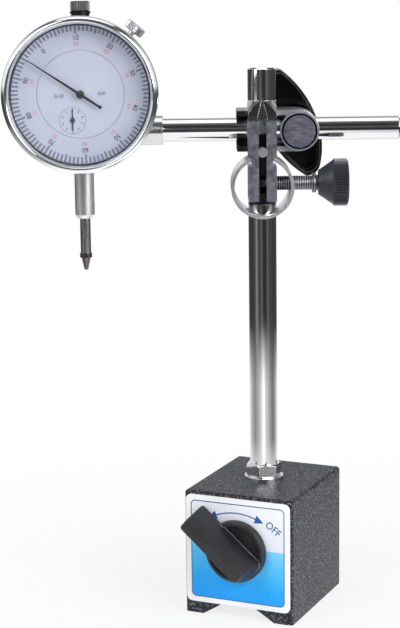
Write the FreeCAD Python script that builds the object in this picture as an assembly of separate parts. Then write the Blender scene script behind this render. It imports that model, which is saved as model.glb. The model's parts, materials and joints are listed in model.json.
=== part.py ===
"""Dial test indicator on a switchable magnetic stand, built as an assembly of separate pieces.

The base stands on z = 0 with its switch facing -Y.  Everything above the column turns with the arm,
which is modelled in its own frame (x along the cross bar, -y towards the reader) and then turned
about the column by ARM_YAW.
"""
import FreeCAD, Part
import math
import os

from FreeCAD import Vector

# ---------------------------------------------------------------- driving dimensions, mm and degrees
ARM_YAW = 24.2              # the arm stands turned on the column

RUN = 0.04                  # radial running clearance of shafts in their holes
THREAD_PLAY = 0.05          # radial clearance of a plain-modelled thread
SLIDE_GAP = 0.3             # gap between curved neighbours on different bodies
CUT = 1.0                   # how far a cutting tool runs past what it cuts
NEAR = 0.01                 # tolerance when edges are picked by their place

# magnetic base
BASE_W = 50.0
BASE_D = 60.0
BASE_H = 55.0
BASE_EDGE = 1.5
VEE_OPEN = 33.0
VEE_DEPTH = 9.5
DIVIDER_T = 2.0
SWITCH_Z = 31.0
ROTOR_BORE_R = 15.0
ROTOR_GAP = 0.2
ROTOR_END_GAP = 1.0
MAGNET_T = 10.0
BORE_PLUG_T = 3.0
PLUG_FLOOR = 1.0
LABEL_W = 48.0
LABEL_LOW = 5.4
LABEL_HIGH = 53.6
LABEL_T = 0.6
LABEL_CORNER = 2.5

# switch
SHAFT_R = 4.0
SHAFT_TAIL_R = 3.0
SHAFT_END_GAP = 0.3
KNOB_R = 13.5
KNOB_T = 4.0
KNOB_RIM = 1.2
KNOB_RECESS = 0.8
HANDLE_W = 11.5
HANDLE_H = 10.0
HANDLE_LONG = 25.5
HANDLE_STEP = 1.2
HANDLE_EDGE = 2.0
HANDLE_ANGLE = 139.0
KNOB_SOCKET = 6.0

# column
ROD_R = 6.0
STUD_R = 4.0
STUD_DEPTH = 6.5
STUD_END_GAP = 0.5
WASHER_R = 8.5
WASHER_T = 1.5
NUT_AF = 13.5
NUT_H = 5.6
NUT_CHAMFER = 0.7
NUT_TURN = 12.0             # the nut stands turned from the arm

# fine adjuster
FORK_LOW = 178.6
FORK_HIGH = 214.5
FORK_FRONT = 8.5
FORK_REAR = 7.5
FORK_WALL = 2.2
FORK_FRONT_WALL = 2.8
FORK_REAR_WALL = 2.0
FORK_SLOT = 3.2
FORK_SLOT_TOP = 213.4
SHOULDER_TOP = 221.0
SHOULDER_FLARE = 5.0
GROOVE_HALF = 2.3           # the slot runs on up the shoulder as a narrowing groove
GROOVE_OVER = 1.0
POST_TOP = 234.7
ROD_CHAMFER = 0.6
TONGUE_W = 6.0
TONGUE_D = 10.0
TONGUE_OVER_PIN = 6.0
TONGUE_STEP = 3.0           # the tongue's front steps back this far above the screw
COLUMN_GAP = 1.1            # between the lower column's shoulder and the fork
CAVITY_OVER_TONGUE = 1.6
PIN_Z = 199.5
PIN_R = 2.1
PIN_PROUD = 0.4
RING_Z = 184.5
RING_R = 13.4
RING_T = 1.4
RING_FRONT = 8.2
RING_REAR = 10.0
RING_HOOK = 1.4             # how far the ring's ends reach into the fork's side notches
NOTCH_UNDER = 1.7           # the notches reach this far below and above the ring's ends
NOTCH_OVER = 0.5
NOTCH_SPARE = 0.2
RING_HOLE_SPARE = 1.2

# fine adjustment screw
SCREW_Z = 185.5
SCREW_R = 3.0
SCREW_HOLE_SPARE = 0.7
TONGUE_CHEEK = 1.8
SCREW_TIP_GAP = 0.45
SCREW_WINDOW = 0.7
SCREW_COLLAR_X = 21.4
SCREW_COLLAR_R = 4.25
SCREW_COLLAR_T = 1.5
SCREW_NECK_R = 3.2
SCREW_NECK_L = 1.2
SCREW_CONE_R = 5.4
SCREW_CONE_L = 5.8
SCREW_HEAD_R = 10.1
SCREW_HEAD_T = 6.8
SCREW_HEAD_CHAMFER = 1.0

# bar clamp
BAR_R = 5.0
BAR_Y = 13.5
BAR_Z = 207.5
BAR_LEFT = -95.0
BAR_RIGHT = 60.0
BAR_CHAMFER = 0.7
SHELL_LEFT = -10.5
SHELL_R = 8.7
SHELL_T = 2.0
SHELL_FRONT = 2.5
SHELL_WEB_T = 2.5
SHELL_BAR_GAP = 0.4
BOLT_X = 16.0
EYE_R = 6.5
CAP_R = 8.3
CAP_T = 2.6
CAP_FACE_R = 7.0
CAP_FACE_UP = 0.5
CAP_GAP = 0.3
CLAMP_STUD_R = 4.0
CLAMP_STUD_SHORT = 0.4      # the stud ends this far inside the wing knob's floor

# wing knob
WING_T = 13.0
WING_WALL = 1.7
WING_FLOOR = 3.0
WING_BOSS_R = 7.0
WING_GAP = 0.3
WING_EDGE = 1.2
# its outline as arcs, (x, z) from the bolt: where each begins and a point on the way to the next
WING_ARCS = (((-7.0, 24.8), (3.0, 14.8)), ((8.8, 3.6), (11.0, -6.0)), ((10.3, -16.7), (8.4, -20.0)),
             ((4.0, -21.5), (-3.4, -15.8)), ((-8.8, -9.6), (-11.6, 4.0)),
             ((-11.4, 20.0), (-10.3, 24.0)))
INSERT_AF = 11.0
INSERT_L = 8.0

# gauge
GAUGE_X = -74.0
GAUGE_Z = 227.3
GAUGE_BACK = -26.0          # rear face of the back cover
COVER_T = 2.0
COVER_CHAMFER = 0.6
CASE_R = 27.5
CASE_WALL = 2.5
CASE_L = 12.2
WEB_AT = 8.6                # depth of the case's rear pocket
WEB_T = 1.2
NECK_L = 1.7
NECK_STEP = 1.96
LUG_T = 5.0
LUG_R = 7.0
LUG_OUT = 8.0
LUG_ROOT = 0.5
LUG_HOLE_R = 3.25
COVER_SCREW_R = 1.0
COVER_SCREW_HEAD_R = 1.9
COVER_SCREW_HEAD_T = 1.0
COVER_SCREW_L = 5.0
COVER_SCREW_END = 0.5
COVER_SCREW_SPARE = 0.1
COVER_SCREW_IN = 2.65       # from the cover's rim to the screws
BEZEL_OVER = 3.8            # the bezel's rim stands this far outside the case
BEZEL_REAR_STEP = 1.9
BEZEL_RUN = 0.06
BEZEL_REAR_L = 2.6
BEZEL_SLOPE = 0.8
BEZEL_L = 10.6
BEZEL_RIM = 3.1             # from the bezel's outside to the sight opening
BEZEL_ROLL = ((0.0, 2.2), (0.5, 0.8), (1.3, 0.0))     # (in from the rim, back from the front)
BEZEL_LIP = 1.0
BEZEL_LIP_SLOPE = 1.3
DIAL_T = 0.5
DIAL_SPLIT_R = 17.5
DIAL_SPLIT_GAP = 0.2
DIAL_PLAY = 0.1
DIAL_HOLE_SPARE = 0.4
CRYSTAL_T = 1.2
CRYSTAL_DOME = 0.5
CRYSTAL_UP = 5.4            # crystal's seat above the dial
SPACER_T = 0.8
SEAT_PLAY = 0.05

# spindle train
SPINDLE_AT = 6.3            # depth of the spindle's axis in the gauge
SPINDLE_R = 2.15
SPINDLE_TOP_GAP = 0.8
TRAVEL = 10.0
STEM_R = 4.0
STEM_OUT = 23.8
STEM_CHAMFER = 1.0
STEM_CHAMFER_L = 1.6
STEM_SEAT = 2.0
STEM_SPIGOT_R = 3.8
BUSH_R = 3.0
BUSH_L = 5.0
DUST_CAP_UP = 5.1           # the dust cap starts this far above the case
DUST_CAP_L = 4.0
DUST_CAP_R = 3.9
DUST_CAP_WALL = 0.9
DUST_CAP_CHAMFER = 0.6
TOP_BUSH_R = 3.7
TOP_BUSH_LEDGE_R = 4.15
TOP_BUSH_LEDGE = 1.0
TOP_BUSH_INSIDE = 3.0
TOP_BUSH_IN_CAP = 2.4
COLLAR_STOP = 4.5           # left between collar and stem at full travel
COLLAR_R = 2.5
COLLAR_L = 1.8
POINT_L = 7.2
TIP_R = 0.9
POINT_CONE_R = 1.9
POINT_SHANK_R = 1.2
POINT_SHANK_L = 5.0
POINT_END_GAP = 0.5
GUIDE_PIN_R = 0.8
GUIDE_PIN_DOWN = 3.0        # below the dial's centre
GUIDE_SLOT = 2.0
GUIDE_SLOT_SPARE = 0.6

# gears
RACK_PITCH = 0.625
RACK_TEETH = 21
RACK_LINE = 1.85            # rack pitch line from the spindle's axis
PINION_TEETH = 16
FINE_MODULE = 0.2
WHEEL_TEETH = 100
CENTER_TEETH = 10
WHEEL_T = 0.7
WHEEL_RUN = 0.4
PINION_RUN = 0.1
RACK_OVER = 3               # rack teeth above the pinion at rest
RACK_PINION_SHORT = 0.6
TOOTH_OUT = 0.85            # addendum and dedendum as shares of the module
TOOTH_IN = 1.15
TOOTH_FOOT = 0.36           # half a tooth's thickness at its root and tip, as shares of the pitch
TOOTH_TIP = 0.10
ARBOR_R = 0.6
PIVOT_RUN = 0.03
BRIDGE_ROOM = 4.5           # between the bridges and the case's wall
BRIDGE_T = 0.8
BRIDGE_IN = 0.9
PILLAR_R = 1.4
PILLAR_IN = 3.0
PILLAR_ANGLES = (10.0, 130.0, 190.0, 310.0)
HAIR_TURNS = 4
HAIR_IN = 1.4
HAIR_STEP = 0.9
HAIR_T = 0.25
HAIR_W = 0.8
HAIR_RUN = 0.3
COIL_R = 1.1
COIL_WIRE = 0.35
COIL_L = 9.8

# pointers
MAIN_ANGLE = 56.6           # counter-clockwise from the top
MAIN_TIP = 25.0
MAIN_TAIL = 9.6
MAIN_ROOT_W = 1.5
MAIN_TIP_W = 0.35
MAIN_BULB_R = 1.5
POINTER_T = 0.3
HUB_R = 1.6
HUB_T = 0.9
SMALL_TIP = 4.4
SMALL_TAIL = 1.8
SMALL_W = 0.8
SMALL_TIP_W = 0.2
SMALL_HUB_R = 0.9
SMALL_HUB_T = 0.5
SMALL_UP = 1.0              # the pointers' rear faces above the dial
MAIN_UP = 2.4

# bezel lock
LOCK_ANGLE = 40.0           # clockwise from the top
LOCK_R = 4.1
LOCK_T = 3.4
LOCK_CLEAR = 0.7            # between the bezel's rim and the lock's head
LOCK_SHANK_R = 1.25
LOCK_SEAT = 1.6
LOCK_BEHIND = 0.8
LOCK_END_GAP = 0.2

# holder
LINK_T = 5.0
LINK_GAP = 0.1
LINK_END_R = 6.5
SLEEVE_R = 8.0
SLEEVE_L = 17.0
NOSE_R = 6.3
NOSE_L = 12.0
LUG_BOLT_R = 3.0
LUG_HEAD_AF = 10.0
LUG_HEAD_T = 4.0
LUG_NUT_R = 6.5
LUG_NUT_T = 5.0
LUG_BOLT_PROUD = 0.8
PINCH_R = 2.5
PINCH_X = 6.5               # from the sleeve's right shoulder
PINCH_HEAD_R = 6.0
PINCH_HEAD_T = 6.0
PINCH_NECK = 4.0
PINCH_CHAMFER = 0.6

# ---------------------------------------------------------------- derived places
ROTOR_L = BASE_D - 2 * (BORE_PLUG_T + ROTOR_END_GAP)
TOP_OF_WASHER = BASE_H + WASHER_T
TOP_OF_NUT = TOP_OF_WASHER + NUT_H
COLUMN_TOP = FORK_LOW - COLUMN_GAP
SCREW_CONE_X = SCREW_COLLAR_X + SCREW_COLLAR_T + SCREW_NECK_L
SCREW_HEAD_X = SCREW_CONE_X + SCREW_CONE_L
NOTCH_LOW = RING_Z + math.sqrt((RING_R - RING_T) ** 2 - ROD_R ** 2) - NOTCH_UNDER
NOTCH_HIGH = RING_Z + math.sqrt(RING_R ** 2 - (ROD_R - RING_HOOK) ** 2) + NOTCH_OVER
TONGUE_TOP = PIN_Z + TONGUE_OVER_PIN
LUG_Y = GAUGE_BACK + LUG_OUT
COVER_FRONT = GAUGE_BACK - COVER_T
WEB_REAR = COVER_FRONT - WEB_AT
WEB_FRONT = WEB_REAR - WEB_T
NECK_REAR = COVER_FRONT - CASE_L
NECK_FRONT = NECK_REAR - NECK_L
DIAL_BACK = NECK_FRONT - DIAL_PLAY
DIAL_FACE = DIAL_BACK - DIAL_T
NECK_R = CASE_R - NECK_STEP
BEZEL_R = CASE_R + BEZEL_OVER
BEZEL_BACK = NECK_REAR - SLIDE_GAP
SIGHT_R = BEZEL_R - BEZEL_RIM
LOCK_OUT = BEZEL_R + LOCK_CLEAR
SPINDLE_Y = GAUGE_BACK - SPINDLE_AT
STEM_LOW = GAUGE_Z - CASE_R - STEM_OUT
COLLAR_TOP = STEM_LOW - TRAVEL - COLLAR_STOP
TIP_LOW = COLLAR_TOP - POINT_L
CAP_LOW = GAUGE_Z + CASE_R + DUST_CAP_UP
DUST_CAP_TOP = CAP_LOW + DUST_CAP_L
SPINDLE_TOP = DUST_CAP_TOP - DUST_CAP_WALL - TRAVEL - SPINDLE_TOP_GAP
GUIDE_PIN_Z = GAUGE_Z - GUIDE_PIN_DOWN
CENTER_DISTANCE = FINE_MODULE * (WHEEL_TEETH + CENTER_TEETH) / 2
RACK_MODULE = RACK_PITCH / math.pi
PINION_X = -RACK_LINE - RACK_MODULE * PINION_TEETH / 2
PINION_Z = -math.sqrt(CENTER_DISTANCE ** 2 - PINION_X ** 2)
WHEEL_BACK = WEB_FRONT - WHEEL_RUN
BRIDGE_FRONT = NECK_FRONT
FRONT_BRIDGE_BACK = BRIDGE_FRONT + BRIDGE_T
REAR_BRIDGE_BACK = COVER_FRONT - BRIDGE_IN
REAR_BRIDGE_FRONT = REAR_BRIDGE_BACK - BRIDGE_T
BRIDGE_R = CASE_R - CASE_WALL - BRIDGE_ROOM
SHELL_BACK = BAR_Y + BAR_R + SHELL_BAR_GAP + SHELL_WEB_T
WING_FRONT = SHELL_BACK + WING_GAP
WING_ROOM = WING_T - WING_FLOOR
SMALL_POINTER_Y = DIAL_FACE - SMALL_UP
MAIN_POINTER_Y = DIAL_FACE - MAIN_UP
LINK_LEFT = GAUGE_X + LUG_T / 2 + LINK_GAP

X = Vector(1, 0, 0)
Y = Vector(0, 1, 0)
Z = Vector(0, 0, 1)


# ---------------------------------------------------------------- small helpers
def rod(radius, length, start, along):
    """A cylinder from start, along a direction."""
    return Part.makeCylinder(radius, length, Vector(*start), along)


def tube(outer, inner, length, start, along):
    return rod(outer, length, start, along).cut(rod(inner, length, start, along))


def block(low, high):
    """A box between two corners."""
    size = [b - a for a, b in zip(low, high)]
    return Part.makeBox(size[0], size[1], size[2], Vector(*low))


def prism(points, along):
    """A closed outline of 3-D points, pushed along a vector."""
    corners = [Vector(*p) for p in points]
    return Part.Face(Part.makePolygon(corners + corners[:1])).extrude(along)


def face_of(edges):
    return Part.Face(Part.Wire(edges))


def hexagon(across_flats, height, start, along, turn=0.0):
    """A hexagonal prism standing on start."""
    radius = across_flats / math.sqrt(3)
    corners = [(radius * math.cos(math.radians(60 * i + turn)),
                radius * math.sin(math.radians(60 * i + turn)), 0) for i in range(6)]
    solid = prism(corners, Vector(0, 0, height))
    solid.Placement = FreeCAD.Placement(Vector(*start), FreeCAD.Rotation(Z, along))
    return solid


def spun(points, centre):
    """A (radius, y) outline turned about the y axis through centre = (x, z)."""
    outline = prism_face([(centre[0] + r, y, centre[1]) for r, y in points])
    return outline.revolve(Vector(centre[0], 0, centre[1]), Y, 360)


def prism_face(points):
    corners = [Vector(*p) for p in points]
    return Part.Face(Part.makePolygon(corners + corners[:1]))


def turned(points, place, along):
    """A (radius, height) outline turned about an axis that starts at place."""
    outline = prism_face([(r, 0, h) for r, h in points])
    solid = outline.revolve(Vector(0, 0, 0), Z, 360)
    solid.Placement = FreeCAD.Placement(Vector(*place), FreeCAD.Rotation(Z, along))
    return solid


def on_gauge(x, y, z):
    """A point given from the dial's centre."""
    return (GAUGE_X + x, y, GAUGE_Z + z)


def polar(radius, angle):
    """Clockwise from the top, as (x, z)."""
    return (radius * math.sin(math.radians(angle)), radius * math.cos(math.radians(angle)))


def gear(teeth, module, width, centre, back, first_tooth):
    """A spur gear about the y axis, a tooth pointing at first_tooth (degrees from +x towards +z)."""
    pitch_r = module * teeth / 2
    tip_r = pitch_r + TOOTH_OUT * module
    root_r = pitch_r - TOOTH_IN * module
    pitch = 360.0 / teeth
    outline = []
    for i in range(teeth):
        middle = first_tooth + i * pitch
        for radius, offset in ((root_r, -TOOTH_FOOT), (tip_r, -TOOTH_TIP), (tip_r, TOOTH_TIP),
                               (root_r, TOOTH_FOOT)):
            angle = math.radians(middle + offset * pitch)
            outline.append((centre[0] + radius * math.cos(angle), back,
                            centre[1] + radius * math.sin(angle)))
    return prism(outline, Vector(0, -width, 0))


def save(name, shape):
    shape = shape.removeSplitter()
    shape.exportStep("parts/%s.step" % name)


def save_arm(name, shape):
    """Write a piece of the arm, turned with it about the column."""
    turned_shape = shape.copy()
    turned_shape.rotate(Vector(0, 0, 0), Z, ARM_YAW)
    save(name, turned_shape)


# ---------------------------------------------------------------- magnetic base
def base_block():
    """The whole iron body before it is parted by the brass divider."""
    body = block((-BASE_W / 2, -BASE_D / 2, 0), (BASE_W / 2, BASE_D / 2, BASE_H))
    edges = [e for e in body.Edges if e.BoundBox.ZMax > BASE_EDGE]
    body = body.makeFillet(BASE_EDGE, edges)
    vee_slope = VEE_DEPTH / (VEE_OPEN / 2 - DIVIDER_T / 2)
    reach = VEE_OPEN / 2 + CUT / vee_slope
    vee = prism([(-reach, -BASE_D, -CUT), (-DIVIDER_T / 2, -BASE_D, VEE_DEPTH),
                 (DIVIDER_T / 2, -BASE_D, VEE_DEPTH), (reach, -BASE_D, -CUT)],
                Vector(0, 2 * BASE_D, 0))
    bore = rod(ROTOR_BORE_R, BASE_D, (0, -BASE_D / 2, SWITCH_Z), Y)
    hole_depth = STUD_DEPTH + STUD_END_GAP
    stud_hole = rod(STUD_R + THREAD_PLAY, hole_depth, (0, 0, BASE_H - hole_depth), Z)
    return body.cut(vee).cut(bore).cut(stud_hole)


def base_pieces():
    body = base_block()
    half = DIVIDER_T / 2
    left = block((-BASE_W, -BASE_D, 0), (-half, BASE_D, BASE_H))
    right = block((half, -BASE_D, 0), (BASE_W, BASE_D, BASE_H))
    middle = block((-half, -BASE_D, 0), (half, BASE_D, BASE_H))
    save("pole_left", body.common(left))
    save("pole_right", body.common(right))
    save("pole_divider", body.common(middle))


def label_plate():
    """A thin plate on the front face, holed for the switch shaft."""
    half = LABEL_W / 2
    face_y = -BASE_D / 2
    plate = block((-half, face_y - LABEL_T, LABEL_LOW), (half, face_y, LABEL_HIGH))
    corners = [e for e in plate.Edges if abs(e.BoundBox.YLength - LABEL_T) < NEAR]
    plate = plate.makeFillet(LABEL_CORNER, corners)
    hole = rod(SHAFT_R + SLIDE_GAP, LABEL_T, (0, face_y - LABEL_T, SWITCH_Z), Y)
    return plate.cut(hole)


def bore_plug(y_start, hole_r):
    """A disc that closes one end of the rotor bore and carries the shaft."""
    return tube(ROTOR_BORE_R, hole_r, BORE_PLUG_T, (0, y_start, SWITCH_Z), Y)


def rear_plug():
    plug = rod(ROTOR_BORE_R, BORE_PLUG_T, (0, BASE_D / 2 - BORE_PLUG_T, SWITCH_Z), Y)
    socket_l = BORE_PLUG_T - PLUG_FLOOR
    socket = rod(SHAFT_TAIL_R + RUN, socket_l, (0, BASE_D / 2 - BORE_PLUG_T, SWITCH_Z), Y)
    return plug.cut(socket)


# ---------------------------------------------------------------- switch
def switch_shaft():
    knob_end = -BASE_D / 2 - LABEL_T - SLIDE_GAP - KNOB_SOCKET
    shoulder = -ROTOR_L / 2
    front = rod(SHAFT_R, shoulder - knob_end, (0, knob_end, SWITCH_Z), Y)
    tail_end = BASE_D / 2 - PLUG_FLOOR - SHAFT_END_GAP
    tail = rod(SHAFT_TAIL_R, tail_end - shoulder, (0, shoulder, SWITCH_Z), Y)
    return front.fuse(tail)


def rotor_body():
    return rod(ROTOR_BORE_R - ROTOR_GAP, ROTOR_L, (0, -ROTOR_L / 2, SWITCH_Z), Y)


def rotor_magnet():
    """The flat magnet across the middle of the rotor."""
    slab = block((-MAGNET_T / 2, -ROTOR_L / 2, 0), (MAGNET_T / 2, ROTOR_L / 2, BASE_H))
    hole = rod(SHAFT_TAIL_R + SEAT_PLAY, ROTOR_L, (0, -ROTOR_L / 2, SWITCH_Z), Y)
    return rotor_body().common(slab).cut(hole)


def rotor_shoes():
    """The two iron segments that bring the flux to the poles."""
    slab = block((-MAGNET_T / 2, -ROTOR_L, 0), (MAGNET_T / 2, ROTOR_L, BASE_H))
    return rotor_body().cut(slab)


def switch_knob():
    """A round flange with a raised rim, and a stout bar handle that overhangs on one side."""
    back = -BASE_D / 2 - LABEL_T - SLIDE_GAP
    front = back - KNOB_T
    flange = rod(KNOB_R, KNOB_T, (0, front, 0), Y)
    recess = rod(KNOB_R - KNOB_RIM, KNOB_RECESS, (0, front, 0), Y)
    flange = flange.cut(recess)
    half = HANDLE_W / 2
    tip = front - HANDLE_H
    bar = block((-KNOB_R, tip, -half), (HANDLE_LONG, front + KNOB_RECESS, half))
    long_end = [e for e in bar.Edges
                if e.BoundBox.XMin > HANDLE_LONG - NEAR and e.BoundBox.YLength > NEAR]
    bar = bar.makeFillet(HANDLE_EDGE, long_end)
    round_off = rod(KNOB_R, HANDLE_H + KNOB_T, (0, tip, 0), Y)
    reach = block((0, tip, -half), (HANDLE_LONG, front + KNOB_RECESS, half))
    bar = bar.common(round_off.fuse(reach))
    step = block((-KNOB_R, tip, half - HANDLE_STEP), (HANDLE_LONG, tip + HANDLE_STEP, half))
    bar = bar.cut(step)
    knob = flange.fuse(bar)
    socket = rod(SHAFT_R + SEAT_PLAY, KNOB_SOCKET, (0, back - KNOB_SOCKET, 0), Y)
    knob = knob.cut(socket)
    knob.rotate(Vector(0, 0, 0), Y, -HANDLE_ANGLE)
    knob.translate(Vector(0, 0, SWITCH_Z))
    return knob


# ---------------------------------------------------------------- column
def lower_column():
    """The chromed rod, its stud below and its pivot tongue above."""
    stud_low = BASE_H - STUD_DEPTH
    stud = rod(STUD_R, TOP_OF_NUT - stud_low, (0, 0, stud_low), Z)
    shank = rod(ROD_R, COLUMN_TOP - TOP_OF_NUT, (0, 0, TOP_OF_NUT), Z)
    half_w = TONGUE_W / 2
    half_d = TONGUE_D / 2
    tongue = block((-half_w, -half_d, COLUMN_TOP), (half_w, half_d, TONGUE_TOP))
    window_half = SCREW_R + SCREW_WINDOW
    window = block((-half_w + TONGUE_CHEEK, -half_d, SCREW_Z - window_half),
                   (half_w, half_d, SCREW_Z + window_half))
    step = block((-half_w, -half_d, SCREW_Z + window_half),
                 (half_w, -half_d + TONGUE_STEP, TONGUE_TOP))
    pin_hole = rod(PIN_R + RUN, TONGUE_D, (0, -half_d, PIN_Z), Y)
    column = stud.fuse(shank).fuse(tongue)
    return column.cut(window).cut(step).cut(pin_hole)


def column_washer():
    return tube(WASHER_R, STUD_R + SLIDE_GAP, WASHER_T, (0, 0, BASE_H), Z)


def lock_nut():
    """A hexagon nut with both faces turned down at the corners."""
    corner_r = NUT_AF / math.sqrt(3)
    flat_r = NUT_AF / 2
    nut = hexagon(NUT_AF, NUT_H, (0, 0, TOP_OF_WASHER), Z, NUT_TURN)
    low = TOP_OF_WASHER
    outline = [(0, 0), (flat_r, 0), (corner_r, NUT_CHAMFER), (corner_r, NUT_H - NUT_CHAMFER),
               (flat_r, NUT_H), (0, NUT_H)]
    nut = nut.common(turned(outline, (0, 0, low), Z))
    return nut.cut(rod(STUD_R + THREAD_PLAY, NUT_H, (0, 0, low), Z))


# ---------------------------------------------------------------- fine adjuster
def shoulder():
    """The bell that leads from the round post to the wider fork."""
    side = [(-ROD_R, -FORK_FRONT, FORK_HIGH), (-ROD_R, FORK_REAR, FORK_HIGH),
            (-ROD_R, ROD_R, SHOULDER_TOP), (-ROD_R, -ROD_R, SHOULDER_TOP)]
    wedge = prism(side, Vector(2 * ROD_R, 0, 0))
    bell = Part.makeCone(ROD_R + SHOULDER_FLARE, ROD_R, SHOULDER_TOP - FORK_HIGH,
                         Vector(0, 0, FORK_HIGH), Z)
    return wedge.common(bell)


def tilt_post():
    """The upper rod with its slotted fork, which straddles the lower column's tongue."""
    fork = block((-ROD_R, -FORK_FRONT, FORK_LOW), (ROD_R, FORK_REAR, FORK_HIGH))
    rod_up = rod(ROD_R, POST_TOP - SHOULDER_TOP, (0, 0, SHOULDER_TOP), Z)
    rim = [e for e in rod_up.Edges if e.BoundBox.ZMin > POST_TOP - NEAR]
    rod_up = rod_up.makeChamfer(ROD_CHAMFER, rim)
    post = fork.fuse(shoulder()).fuse(rod_up)
    inner = ROD_R - FORK_WALL
    cavity = block((-inner, -FORK_FRONT + FORK_FRONT_WALL, FORK_LOW),
                   (inner, FORK_REAR - FORK_REAR_WALL, TONGUE_TOP + CAVITY_OVER_TONGUE))
    half_slot = FORK_SLOT / 2
    slot = block((-half_slot, -FORK_FRONT, FORK_LOW),
                 (half_slot, -FORK_FRONT + FORK_FRONT_WALL, FORK_SLOT_TOP))
    groove_y = -FORK_FRONT + FORK_FRONT_WALL
    groove = prism([(-GROOVE_HALF, -FORK_FRONT, FORK_SLOT_TOP),
                    (0, -FORK_FRONT, SHOULDER_TOP + GROOVE_OVER),
                    (GROOVE_HALF, -FORK_FRONT, FORK_SLOT_TOP)], Vector(0, FORK_FRONT + groove_y, 0))
    post = post.cut(cavity).cut(slot).cut(groove)
    post = post.cut(rod(PIN_R, FORK_FRONT + FORK_REAR, (0, -FORK_FRONT, PIN_Z), Y))
    hook = RING_HOOK + NOTCH_SPARE
    for side in (-1, 1):
        near, far = sorted((side * (ROD_R - hook), side * ROD_R))
        post = post.cut(block((near, -FORK_FRONT, NOTCH_LOW), (far, FORK_REAR, NOTCH_HIGH)))
    return post.cut(rod(SCREW_R + THREAD_PLAY, ROD_R, (0, 0, SCREW_Z), X))


def pivot_pin():
    length = FORK_FRONT + FORK_REAR + PIN_PROUD
    return rod(PIN_R, length, (0, -FORK_FRONT - PIN_PROUD, PIN_Z), Y)


def spring_ring():
    """A broad spring band, open at the top, its ends hooked into the fork's side notches."""
    depth = RING_FRONT + RING_REAR
    band = tube(RING_R, RING_R - RING_T, depth, (0, -RING_FRONT, RING_Z), Y)
    half_gap = ROD_R - RING_HOOK
    gap = block((-half_gap, -RING_FRONT, RING_Z), (half_gap, RING_REAR, RING_Z + RING_R))
    column_hole = rod(ROD_R + RING_HOLE_SPARE, RING_R, (0, 0, RING_Z - RING_R), Z)
    screw_hole = rod(SCREW_R + SCREW_HOLE_SPARE, RING_R, (ROD_R, 0, SCREW_Z), X)
    return band.cut(gap).cut(column_hole).cut(screw_hole)


def fine_screw():
    """The threaded shank with its collar and neck."""
    tip = -TONGUE_W / 2 + TONGUE_CHEEK + SCREW_TIP_GAP
    shank = rod(SCREW_R, SCREW_HEAD_X - tip, (tip, 0, SCREW_Z), X)
    collar = rod(SCREW_COLLAR_R, SCREW_COLLAR_T, (SCREW_COLLAR_X, 0, SCREW_Z), X)
    neck_x = SCREW_COLLAR_X + SCREW_COLLAR_T
    neck = rod(SCREW_NECK_R, SCREW_NECK_L, (neck_x, 0, SCREW_Z), X)
    return shank.fuse(collar).fuse(neck)


def fine_screw_head():
    """The coned and knurled disc pressed on the fine screw."""
    back = SCREW_HEAD_X + SCREW_HEAD_T
    bore_r = SCREW_R + SEAT_PLAY
    outline = [(bore_r, SCREW_CONE_X), (SCREW_CONE_R, SCREW_CONE_X),
               (SCREW_HEAD_R - SCREW_HEAD_CHAMFER, SCREW_HEAD_X),
               (SCREW_HEAD_R, SCREW_HEAD_X + SCREW_HEAD_CHAMFER),
               (SCREW_HEAD_R, back - SCREW_HEAD_CHAMFER),
               (SCREW_HEAD_R - SCREW_HEAD_CHAMFER, back), (0, back), (0, SCREW_HEAD_X),
               (bore_r, SCREW_HEAD_X)]
    return turned(outline, (0, 0, SCREW_Z), X)


# ---------------------------------------------------------------- bar clamp
def shell_outline(inset, y_start, length):
    """The clamp shell's front view: square at the left, round about the bolt at the right."""
    radius = SHELL_R - inset
    bar = block((SHELL_LEFT, y_start, BAR_Z - radius), (BOLT_X, y_start + length, BAR_Z + radius))
    return bar.fuse(rod(radius, length, (BOLT_X, y_start, BAR_Z), Y))


def clamp_shell():
    """A dished channel, open to the front and left, brazed to the fork and backing the bar."""
    depth = SHELL_BACK - SHELL_FRONT
    shell = shell_outline(0, SHELL_FRONT, depth)
    shell = shell.cut(shell_outline(SHELL_T, SHELL_FRONT, depth - SHELL_WEB_T))
    post_notch = block((-ROD_R, SHELL_FRONT, 0), (ROD_R, FORK_REAR, POST_TOP))
    bar_exit = rod(BAR_R + SLIDE_GAP, SHELL_R * 2, (BOLT_X, BAR_Y, BAR_Z), X)
    stud_hole = rod(CLAMP_STUD_R + SLIDE_GAP, depth, (BOLT_X, SHELL_FRONT, BAR_Z), Y)
    return shell.cut(post_notch).cut(bar_exit).cut(stud_hole)


def eye_bolt():
    """The clamp bolt: a round cap in front, a cross hole for the bar, a stud behind."""
    cap_back = SHELL_FRONT - CAP_GAP
    cap = rod(CAP_R, CAP_T, (BOLT_X, cap_back - CAP_T, BAR_Z), Y)
    face = rod(CAP_FACE_R, CAP_FACE_UP, (BOLT_X, cap_back - CAP_T - CAP_FACE_UP, BAR_Z), Y)
    eye_end = BAR_Y + BAR_R
    eye = rod(EYE_R, eye_end - cap_back, (BOLT_X, cap_back, BAR_Z), Y)
    stud_end = WING_FRONT + WING_ROOM - CLAMP_STUD_SHORT
    stud = rod(CLAMP_STUD_R, stud_end - eye_end, (BOLT_X, eye_end, BAR_Z), Y)
    cross = rod(BAR_R + RUN, 4 * EYE_R, (BOLT_X - 2 * EYE_R, BAR_Y, BAR_Z), X)
    return cap.fuse(face).fuse(eye).fuse(stud).cut(cross)


def wing_wire(inset, y):
    """The outline of a long lobe and a short one; inset draws it in towards the bolt."""
    def place(point):
        radius = math.hypot(point[0], point[1])
        shrink = (radius - inset) / radius
        return Vector(BOLT_X + point[0] * shrink, y, BAR_Z + point[1] * shrink)

    edges = []
    for (start, middle), (end, _) in zip(WING_ARCS, WING_ARCS[1:] + WING_ARCS[:1]):
        edges.append(Part.Arc(place(start), place(middle), place(end)).toShape())
    return Part.Wire(edges)


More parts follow.
